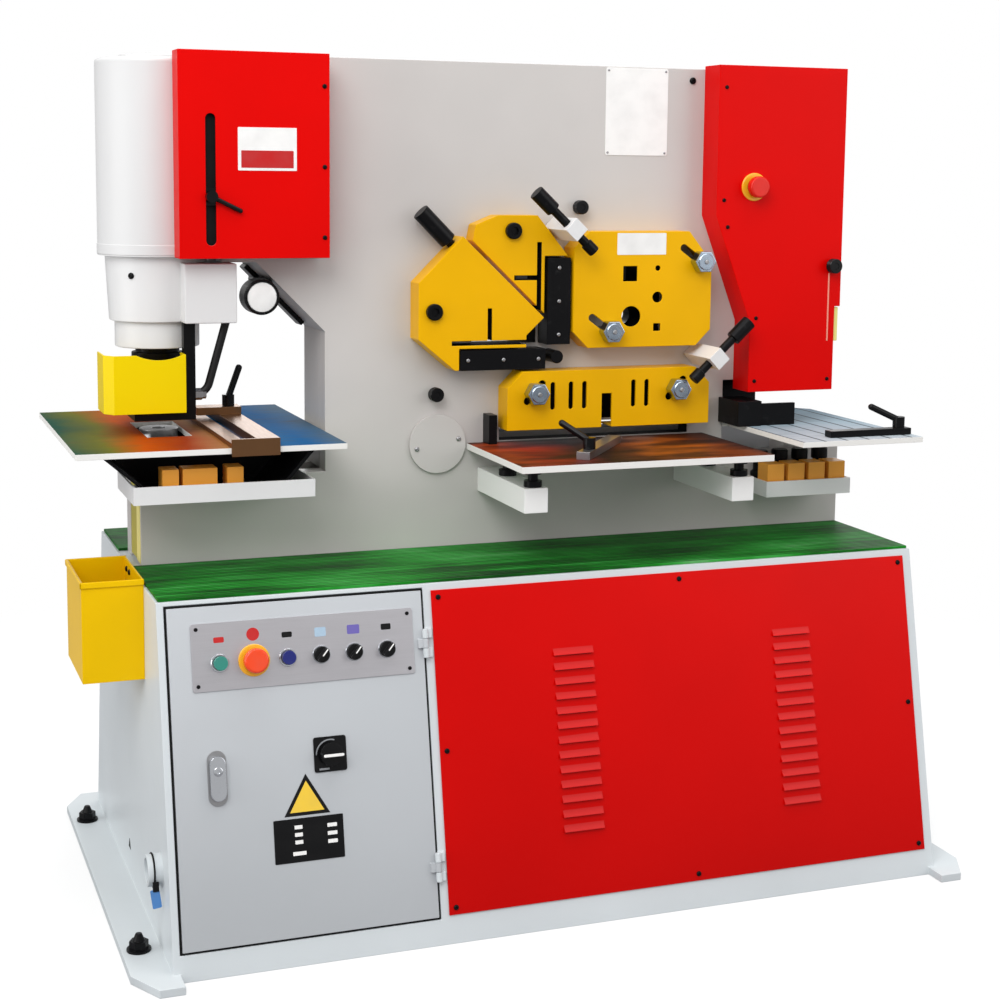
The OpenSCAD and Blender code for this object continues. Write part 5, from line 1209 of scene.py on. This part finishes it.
@dataclass
class ControlDoor(Trim):
    """Plates, rings and prints on the door of the electrics; places are X and height on the slope in mm."""

    face: float = 3.0
    plate_x: Pair = (-648.0, -276.0)
    plate_v: Pair = (452.0, 561.0)
    plate_t: float = 2.0
    screw_in: float = 9.0
    row_x: float = -603.0
    row_v: float = 496.0
    pitch: float = 56.0
    print_up: float = 37.0
    stop_print_up: float = 42.0
    selectors: Tuple[Tuple[int, str], ...] = ((3, "a"), (4, "b"), (5, "c"))
    grip_turn: float = 50.0
    line_out: float = 4.5
    line_lift: float = 17.8
    lock: Pair = (-616.0, 313.5)
    barrel: Pair = (-616.0, 325.0)
    barrel_lift: float = 12.0
    switch: Pair = (-429.0, 334.0)
    pointer_lift: float = 26.8
    arc_lift: float = 2.35
    triangle: Pair = (-472.0, 262.0)
    data: Pair = (-471.0, 201.0)
    data_lift: float = 0.75

    def at(self, spot: Pair, lift: float = 0.0) -> Tuple[Spot, ...]:
        """A place on the door's face."""
        return on(Facing.SLOPE, self.face + lift, spot)

    def row(self, *controls: int, up: float = 0.0, lift: float = 0.0) -> Tuple[Spot, ...]:
        """Places at some controls of the row, on the control plate.

        Args:
            controls: numbers of the controls.
            up: height over their middle.
            lift: level over the plate.

        Returns:
            The places.
        """
        spots = [(self.row_x + self.pitch * i, self.row_v + up) for i in controls]
        return on(Facing.SLOPE, self.face + self.plate_t + lift, *spots)

    def fittings(self) -> List[Fitting]:
        """All pieces of the door."""
        return [*self.plate(), *self.prints(), *self.lock_and_switch(), *self.selector_lines(),
                *self.door_prints()]

    def plate(self) -> List[Fitting]:
        """Control plate with its screws and the rings round the controls."""
        (x0, x1), (v0, v1), rim = self.plate_x, self.plate_v, self.screw_in
        middle = self.at(((x0 + x1) / 2, (v0 + v1) / 2))
        corners = [(x, v) for x in (x0 + rim, x1 - rim) for v in (v0 + rim, v1 - rim)]
        screws = on(Facing.SLOPE, self.face + self.plate_t, *corners)
        button = Lathe(((14.75, 0), (14.75, 2.6), (13.9, 3.6), (12.6, 3.6), (12.3, 2.4), (12.3, 0)),
                       hole=True)
        knob = Lathe(((15.2, 0), (15.2, 2.0), (14.6, 2.8), (13.8, 2.8), (13.5, 2.0), (13.5, 0)), hole=True)
        seat = self.row(1, lift=Hardware.STOP_RISE)
        return [
            Fitting("control_plate", Sheet(x1 - x0, v1 - v0, self.plate_t, 4.0), Look.CONTROL_PLATE, middle,
                    "door"),
            Fitting("control_plate_screws", Hardware.screw(0.65), Look.BLACK_STEEL, screws, "door"),
            Fitting("button_rings", button, Look.CHROME, self.row(0, 2), "door"),
            Fitting("selector_rings", knob, Look.CHROME, self.row(3, 4, 5), "door"),
            Fitting("stop_ring", Hardware.STOP_RING, Look.RING, self.row(1), "door"),
            Fitting("stop_collar", Hardware.STOP_COLLAR, Look.BLACK_PLASTIC, seat, "door")]

    def prints(self) -> List[Fitting]:
        """Plain fields of colour over the controls."""
        fields = ((0, 17, 9, Look.RED_PRINT), (2, 17, 9, Look.SEAL), (3, 19, 15, Look.SKY_PRINT),
                  (4, 21, 15, Look.VIOLET_PRINT), (5, 17, 10, Look.SEAL))
        made = [Fitting(f"control_print_{index}", Sheet(wide, high, 0.25, 2.0, 0.0), look,
                        self.row(index, up=self.print_up), "door") for index, wide, high, look in fields]
        dome = Lathe(((10.5, 0), (10.5, 0.15), (10.2, 0.25)))
        return made + [Fitting("control_print_1", dome, Look.RED_PRINT, self.row(1, up=self.stop_print_up),
                               "door")]

    def lock_and_switch(self) -> List[Fitting]:
        """Back plates of the lock and of the main switch, the barrel, the pointer and the blank marks."""
        barrel = Lathe(((7.5, 0), (7.5, 1.4), (6.4, 2.0), (3.0, 2.0), (2.6, 0.8)), 28)
        ring = Lathe(((24.4, 0), (24.4, 0.2), (22.4, 0.2), (22.4, 0)), 64, True)
        arc = Arc(ring, ((0, -1, 0), (0.94, -0.34, 0)))
        marks = Joined(((arc, (0, 0)), (Sheet(17, 3.0, 0.2, 0.6, 0.0), (-11.0, -23.5))))
        pointer = self.at(self.switch, self.pointer_lift)
        return [
            Fitting("lock_plate", Sheet(31, 88, 2.2, 15.0, 0.7), Look.STEEL, self.at(self.lock), "door"),
            Fitting("lock_barrel", barrel, Look.CHROME, self.at(self.barrel, self.barrel_lift), "door_lock"),
            Fitting("switch_plate", Sheet(55, 57, 2.4, 4.0, 0.8), Look.BLACK_PLASTIC, self.at(self.switch),
                    "door"),
            Fitting("switch_pointer", Sheet(34, 4.6, 0.8, 2.0, 0.3), Look.PALE_PRINT, pointer,
                    "switch_handle"),
            Fitting("switch_arc", marks, Look.GREY_PRINT, self.at(self.switch, self.arc_lift), "door")]

    def selector_lines(self) -> List[Fitting]:
        """Pale line on the grip of each selector."""
        turn = math.radians(self.grip_turn)
        across, up = self.line_out * math.cos(turn), self.line_out * math.sin(turn)
        line = Sheet(14, 2.2, 0.5, 0.8, 0.15)
        made = []
        for index, label in self.selectors:
            (facing, x, v, off), = self.row(index, up=up, lift=self.line_lift)
            spots = ((facing, x + across, v, off),)
            made.append(Fitting(f"selector_line_{label}", line, Look.PALE_PRINT, spots, f"selector_{label}",
                                self.grip_turn))
        return made

    def door_prints(self) -> List[Fitting]:
        """Blank triangle and blank dark plate with its pale fields on the lower door."""
        spot = self.at(self.triangle)
        rows = ((-488, 222, 13), (-488, 210, 13), (-488, 198, 13), (-488, 180, 22), (-432, 220, 16),
                (-432, 207, 16), (-432, 194, 16))
        fields = Joined(tuple((Sheet(wide, 6.0, 0.25, 0.6, 0.0), (x, v)) for x, v, wide in rows))
        return [
            Fitting("triangle_border", Lathe(((44, 0), (44, 0.5)), 3), Look.SEAL, spot, "door"),
            Fitting("triangle_field", Lathe(((33, 0.5), (33, 0.8)), 3), Look.YELLOW_PRINT, spot, "door"),
            Fitting("data_plate", Sheet(116, 70, 0.8, 1.5, 0.3), Look.BLACK_PLASTIC, self.at(self.data),
                    "door"),
            Fitting("data_fields", fields, Look.PALE_PRINT, self.at((0, 0), self.data_lift), "door")]


@dataclass
class BaseTrim(Trim):
    """Seals, screws and small fittings of the base, in mm."""

    seal_x: Pair = (-687.3, -254.7)
    seal_v: Pair = (43.8, 591.2)
    seal_depth: Pair = (-9.0, -0.5)
    seal_w: float = 2.4
    seal_short: float = 0.4
    panel_x: Triple = (-228, 221, 670)
    panel_v: Triple = (60, 318, 575)
    panel_face: float = 3.0
    bin_back: float = -703.0
    lip_x: Pair = (-804.5, -699.5)
    lip_y: Pair = (-193, 2)
    lip_z: Pair = (590.5, 601)
    lip_t: float = 4.0
    lip_rear_t: float = 3.0
    tag_swing: float = 8.0

    def fittings(self) -> List[Fitting]:
        """Seal round the door, screws, lip of the bin, a strip of painted reflection and a painted bar on the
        left end, and the hanging tag.
        """
        low, middle, high = self.panel_v
        screws = [(x, v) for v in (low, high) for x in self.panel_x]
        screws += [(x, middle) for x in (self.panel_x[0], self.panel_x[-1])]
        loop = Lathe(((27.6, -1.4), (28.6, 0), (27.6, 1.4), (26.3, 1.4), (26.3, -1.4)), 40, True)
        return [
            self.door_seal(),
            Fitting("panel_screws", Hardware.screw(0.9), Look.BLACK_STEEL,
                    on(Facing.SLOPE, self.panel_face, *screws)),
            Fitting("bin_screws", Hardware.screw(1.0), Look.BLACK_STEEL,
                    on(Facing.LEFT, self.bin_back, (-60, 584), (-30, 584))),
            self.bin_lip(),
            # Painted reflection: a cream strip on the front plate's end face stands for the yellow bin's
            # reflection.
            Fitting("end_reflection_strip", Bars((((-681, -37, 593), (-679.5, -3, 726)),), 0.4), Look.END_REFLECTION),
            Fitting("end_bar", Bars((((-679.5, 2, 593), (-676, 66, 726)),), 0.6), Look.END_BAR),
            Fitting("tube_tag", Sheet(15, 32, 0.8, 2.5, 0.2), Look.TAG, on(Facing.FRONT, -348, (-713, 112)),
                    turn=self.tag_swing),
            Fitting("tag_clip", Bars((((-718, -350.5, 124), (-708, -346, 140)),), 0.8), Look.SEAL),
            Fitting("tag_loop", loop, Look.SEAL, on(Facing.LEFT, -714, (-320, 150))),
            Fitting("end_mark", Lathe(((12, 0), (12, 0.5)), 3), Look.SEAL, on(Facing.LEFT, -700, (9, 71)))]

    def door_seal(self) -> Fitting:
        """Black seal in the gap round the door, drawn flat and laid on the slope."""
        (x0, x1), (v0, v1), (d0, d1) = self.seal_x, self.seal_v, self.seal_depth
        wide, low, high = self.seal_w, v0 + self.seal_short, v1 - self.seal_short
        bars = (((x0, low, d0), (x0 + wide, high, d1)), ((x1 - wide, low, d0), (x1, high, d1)),
                ((x0, v0, d0), (x1, v0 + wide, d1)), ((x0, v1 - wide, d0), (x1, v1, d1)))
        return Fitting("door_seal", Bars(bars, 0.5), Look.SEAL, on(Facing.SLOPE, 0, (0, 0)))

    def bin_lip(self) -> Fitting:
        """Turned-over lip round the mouth of the scrap bin."""
        (x0, x1), (y0, y1), (z0, z1) = self.lip_x, self.lip_y, self.lip_z
        rails = (((x0, y0, z0), (x1, y0 + self.lip_t, z1)), ((x0, y0, z0), (x0 + self.lip_t, y1, z1)),
                 ((x0, y1 - self.lip_rear_t, z0), (x1, y1, z1)))
        return Fitting("bin_lip", Bars(rails, 1.8, 3), Look.BIN)


@dataclass
class FrameTrim(Trim):
    """Plates, knobs and bolts on the frame plates and the shear; places are X and Z in mm."""

    front: float = -40.0
    guard: float = -90.0
    chart_t: float = 1.0
    pivot_t: float = 6.0
    blade_face: float = -86.0
    bolt_r: float = 15.0
    bolt_back: float = 10.0
    clamp_l: float = 24.4
    clamps: Tuple[Pair, ...] = ((176, 985), (360, 1112), (30, 874), (315, 874))

    def fittings(self) -> List[Fitting]:
        """All small pieces of the frame."""
        rivets = [(x, z) for x in (188, 304) for z in (1312, 1462)]
        bolts = on(Facing.FRONT, self.guard, (-164.5, 1025.6))
        bolts += on(Facing.FRONT, self.guard + self.bolt_back, (-12, 1169))
        blades = [(77, z) for z in (980, 1041, 1102)] + [(x, 936.5) for x in (-98, -30, 38)]
        section = HoledBar(((190.4, -39.6, 972.4), (299.6, -10, 1115.6)), 0.6,
                           ((217, 1090, 14), (273, 990, 7)),
                           ((220, 1011, 19), (273, 1046, 10), (273, 1100, 5)))
        clamps = on(Facing.FRONT, self.guard - self.clamp_l, *self.clamps)
        return [
            Fitting("blank_chart", Sheet(126, 160, self.chart_t, 4.0, 0.3), Look.PALE_PRINT,
                    on(Facing.FRONT, self.front, (246, 1387))),
            Fitting("chart_rivets", Hardware.screw(0.45), Look.STEEL,
                    on(Facing.FRONT, self.front - self.chart_t, *rivets)),
            Fitting("frame_eye", Hardware.screw(1.3), Look.BLACK_STEEL,
                    on(Facing.FRONT, self.front, (360, 1447))),
            Fitting("pivot_screws", Hardware.screw(0.9), Look.STEEL,
                    on(Facing.FRONT, self.front - self.pivot_t, (-181, 773), (-101, 789))),
            Fitting("frame_knobs", Hardware.knob(13, 24), Look.BLACK_PLASTIC,
                    on(Facing.FRONT, self.front, (-148, 873), (130, 1211))),
            Fitting("guard_bolts", Hardware.bolt(self.bolt_r), Look.BLACK_STEEL, bolts),
            Fitting("blade_bolts", Hardware.screw(0.75), Look.STEEL,
                    on(Facing.FRONT, self.blade_face, *blades)),
            # Painted shade: a black sheet on the plate behind the flat guard, where the plate lies in shade.
            Fitting("flat_shade_liner", Bars((((0, -41, 817), (362, -39.8, 902)),), 0.3), Look.BLACK_STEEL),
            Fitting("section_blade", section, Look.BLACK_STEEL),
            Fitting("guard_print", Sheet(99, 40, 0.5, 1.5, 0.0), Look.PALE_PRINT,
                    on(Facing.FRONT, self.guard, (239, 1145)), "section_guard"),
            Fitting("knob_caps", Lathe(((15.5, -0.4), (15.5, 1.2), (14.2, 2.2), (5, 2.2))), Look.CLAMP,
                    clamps),
            Fitting("knob_studs", Lathe(((4.2, 1.5), (4.2, 4.0), (3.4, 5.0)), 20), Look.STEEL, clamps)]


@dataclass
class PunchTrim(Trim):
    """Plates, lens and fittings around the punch, in mm."""

    cover: float = -114.0
    print_spot: Pair = (-469.5, 1308)
    print_t: float = 0.6
    field_drop: float = 17.0
    slot_x: Pair = (-600, -545)
    slot_y: Pair = (-111.5, -102.5)
    slot_z: Pair = (1132, 1424)
    slot_wall: float = 1.5
    middle: Pair = (-634, 35)
    cap_z: float = 1459.8

    def fittings(self) -> List[Fitting]:
        """The pieces on the punch side."""
        x, z = self.print_spot
        lamp = on(Facing.FRONT, -70, (-470.5, 1055.1))
        rim = Lathe(((30.5, -0.5), (30.5, 2.2), (28.8, 3.4), (26.4, 3.4), (26.0, 1.0)), 48)
        lens = Lathe(((26.0, 0.9), (25.2, 2.0), (19, 3.6), (10, 4.6)), 48)
        band = Lathe(((100.1, 1127), (101.0, 1128), (101.0, 1144), (100.1, 1145), (99, 1145), (99, 1127)),
                     96, True)
        nut = Lathe(((10.5, -0.3), (10.5, 11), (9.2, 13), (8.4, 13), (8.4, 19), (7.2, 19)), 6)
        cap = Lathe(((60, 0), (60, 5), (57, 7), (16, 7), (16, 10), (14, 11)), 64)
        return [
            Fitting("cover_print", Sheet(101, 72, self.print_t, 1.5, 0.0), Look.PALE_PRINT,
                    on(Facing.FRONT, self.cover, self.print_spot)),
            Fitting("cover_print_field", Sheet(90, 29, 0.3, 1.0, 0.0), Look.COVER_FIELD,
                    on(Facing.FRONT, self.cover - self.print_t, (x, z - self.field_drop))),
            self.slot_shade_channel(),
            Fitting("cover_screws", Hardware.screw(0.8), Look.BLACK_STEEL,
                    on(Facing.FRONT, self.cover, (-370, 1415), (-370, 1279), (-370, 1159))),
            Fitting("lamp_rim", rim, Look.BLACK_PLASTIC, lamp),
            Fitting("lamp_lens", lens, Look.LENS, lamp),
            Fitting("cylinder_band", band, Look.CYLINDER, on(Facing.UP, 0, self.middle)),
            Fitting("guide_screw", Hardware.screw(1.1), Look.BLACK_STEEL,
                    on(Facing.GUIDE, -32.2, (-688, 1092))),
            Fitting("hose_nut", nut, Look.STEEL, on(Facing.RIGHT, -585, (-50, 888))),
            Fitting("cylinder_cap", cap, Look.CYLINDER, on(Facing.UP, self.cap_z, self.middle))]

    def slot_shade_channel(self) -> Fitting:
        """Black channel behind the slot of the stroke handle: painted shade, a dark sheet where the slot lies
        in shade.
        """
        (x0, x1), (y0, y1), (z0, z1), wall = self.slot_x, self.slot_y, self.slot_z, self.slot_wall
        walls = (((x0, y1 - wall, z0), (x1, y1, z1)), ((x0, y0, z0), (x0 + wall, y1, z1)),
                 ((x1 - wall, y0, z0), (x1, y1, z1)))
        return Fitting("slot_shade_channel", Bars(walls, 0.3), Look.SEAL)


@dataclass
class NotchTrim(Trim):
    """Stop ring, knob, the painted highlight strip and the side strip of the notching side, in mm."""

    cover: float = -102.0
    stop: Pair = (462, 1251)
    screws: Tuple[Pair, ...] = ((400, 1434), (400, 1226), (409, 1176), (474, 1004), (474, 884), (632, 884))
    punch_x: Tuple[float, ...] = (503, 547, 591, 635)
    punch_y: float = -78.0
    punch_z: float = 671.0

    def fittings(self) -> List[Fitting]:
        """The pieces on the notching side."""
        punch = Lathe(((17, 0), (17, 34), (12, 38), (12, 52), (16, 56), (16, 74), (14, 76)), 28)
        return [
            Fitting("notch_stop_ring", Hardware.STOP_RING, Look.RING,
                    on(Facing.FRONT, self.cover, self.stop)),
            Fitting("notch_stop_collar", Hardware.STOP_COLLAR, Look.BLACK_PLASTIC,
                    on(Facing.FRONT, self.cover - Hardware.STOP_RISE, self.stop)),
            Fitting("cover_knob", Hardware.knob(14, 20), Look.BLACK_PLASTIC,
                    on(Facing.FRONT, self.cover, (633, 1102))),
            # Painted highlight along the fold of the notch cover.
            Fitting("cover_highlight_strip", Bars((((627.5, -103.2, 958), (630.5, -101.5, 1088)),), 0.5),
                    Look.COVER_HIGHLIGHT),
            Fitting("side_strip", Bars((((643.5, -98, 957), (654, -52, 1022)),), 1.0), Look.SIDE_STRIP),
            Fitting("notch_cover_screws", Hardware.screw(0.75), Look.BLACK_STEEL,
                    on(Facing.FRONT, self.cover, *self.screws)),
            Fitting("spare_punches", punch, Look.BLACK_STEEL,
                    on(Facing.UP, self.punch_z, *((x, self.punch_y) for x in self.punch_x)))]


@dataclass(frozen=True)
class Lamp:
    """One square soft light, in metres and watts."""

    name: str
    spot: Triple
    size: float
    watts: float
    target: Triple = (0.0, 0.0, 0.8)

    def hang(self) -> None:
        """Adds the light to the scene."""
        data = bpy.data.lights.new(self.name, "AREA")
        data.shape = "SQUARE"
        data.size = self.size
        data.energy = self.watts
        made = bpy.data.objects.new(self.name, data)
        made.location = self.spot
        made.rotation_euler = (Vector(self.target) - Vector(self.spot)).to_track_quat("-Z", "Y").to_euler()
        bpy.context.scene.collection.objects.link(made)


@dataclass
class Studio:
    """Floor, light and camera, in metres and degrees."""

    floor_size: float = 40.0
    floor_seen: Triple = (0.95, 0.95, 0.95)
    bounce: Triple = (0.30, 0.30, 0.31)
    fade: Pair = (0.9, 2.2)
    keep: float = 0.60
    ambient: float = 0.62
    lamps: Tuple[Lamp, ...] = (
        Lamp("key", (-2.2, -3.0, 3.6), 2.4, 105, (0.0, 0.0, 1.0)), Lamp("fill", (3.2, -3.4, 2.4), 3.0, 45),
        Lamp("left", (-4.2, -0.6, 1.0), 2.6, 55, (-0.4, 0.0, 0.4)), Lamp("top", (0.2, -0.4, 4.2), 3.0, 65),
        Lamp("rim", (1.5, 3.8, 2.6), 2.8, 60))
    sensor: float = 36.0
    focal_px: float = 1796.76
    long_side_px: float = 1008.0
    drop_px: float = 100.0
    reach: float = 100.0
    eye: Triple = (-1.16476, -3.11982, 1.27347)
    yaw: float = 20.41
    pitch: float = 7.35
    roll: float = 0.6

    def build(self) -> None:
        """Sets up the scene around the machine."""
        bpy.context.scene.view_settings.view_transform = "Standard"
        self.floor()
        self.world()
        for lamp in self.lamps:
            lamp.hang()
        self.camera()

    def floor(self) -> None:
        """Pale floor that keeps the shadow."""
        Bench.clear()
        bpy.ops.mesh.primitive_plane_add(size=self.floor_size)
        floor = Bench.name("floor")
        shader = Shader("floor")
        camera = shader.wire("ShaderNodeLightPath", {}, {}, "Is Camera Ray")
        shader.put(base_color=shader.blend(camera, self.bounce, self.floor_seen), roughness=0.9,
                   specular_ior_level=0.0)
        glow = shader.wire("ShaderNodeEmission", {}, {"Color": (1, 1, 1), "Strength": 1.0})
        away = shader.wire("ShaderNodeVectorMath", {"operation": "LENGTH"}, {0: shader.coords()}, "Value")
        white = camera * (away.ramp(*self.fade) * (1 - self.keep) + self.keep)
        shader.feed(shader.out.inputs[0], shader.wire("ShaderNodeMixShader", {}, {
            0: white, 1: shader.surface, 2: glow}))
        floor.data.materials.append(shader.material)
        floor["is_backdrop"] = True

    def world(self) -> None:
        """White background with plain light from all round."""
        world = bpy.data.worlds.new("studio")
        tree = Tree(world)
        camera = tree.wire("ShaderNodeLightPath", {}, {}, "Is Camera Ray")
        light = tree.wire("ShaderNodeBackground", {}, {0: (1, 1, 1), 1: self.ambient})
        seen = tree.wire("ShaderNodeBackground", {}, {0: (1, 1, 1)})
        mixed = tree.wire("ShaderNodeMixShader", {}, {0: camera, 1: light, 2: seen})
        tree.node("ShaderNodeOutputWorld", {}, {0: mixed})
        bpy.context.scene.world = world

    def camera(self) -> None:
        """Camera at the picture's place."""
        data = bpy.data.cameras.new("view")
        data.sensor_width = self.sensor
        data.lens = self.sensor * self.focal_px / self.long_side_px
        data.shift_y = -self.drop_px / self.long_side_px
        data.clip_end = self.reach
        made = bpy.data.objects.new("view", data)
        yaw, pitch, roll = (math.radians(a) for a in (self.yaw, self.pitch, self.roll))
        ahead = Vector((math.sin(yaw) * math.cos(pitch), math.cos(yaw) * math.cos(pitch), -math.sin(pitch)))
        right = Vector((math.cos(yaw), -math.sin(yaw), 0))
        up = right.cross(ahead)
        across = math.cos(roll) * right + math.sin(roll) * up
        upright = math.cos(roll) * up - math.sin(roll) * right
        turn = Matrix((across, upright, -ahead)).transposed()
        made.matrix_world = Matrix.Translation(self.eye) @ turn.to_4x4()
        bpy.context.scene.collection.objects.link(made)
        bpy.context.scene.camera = made


def plain(box: object) -> object:
    """Nested lists of numbers from a box.

    Args:
        box: a number, or any sequence of them.

    Returns:
        The same as plain lists.
    """
    if isinstance(box, (int, float)):
        return float(box)
    return [plain(part) for part in box]


def main() -> None:
    logging.basicConfig(level=logging.INFO, format="%(name)s: %(message)s")
    Studio().build()
    Solids().build()
    for trim in (ControlDoor(), BaseTrim(), FrameTrim(), PunchTrim(), NotchTrim()):
        trim.build()
    {"cad": plain(CAD_BOX), "visual": plain(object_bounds())}
    LOG.info("sizes written")


if __name__ == "__main__":
    main()
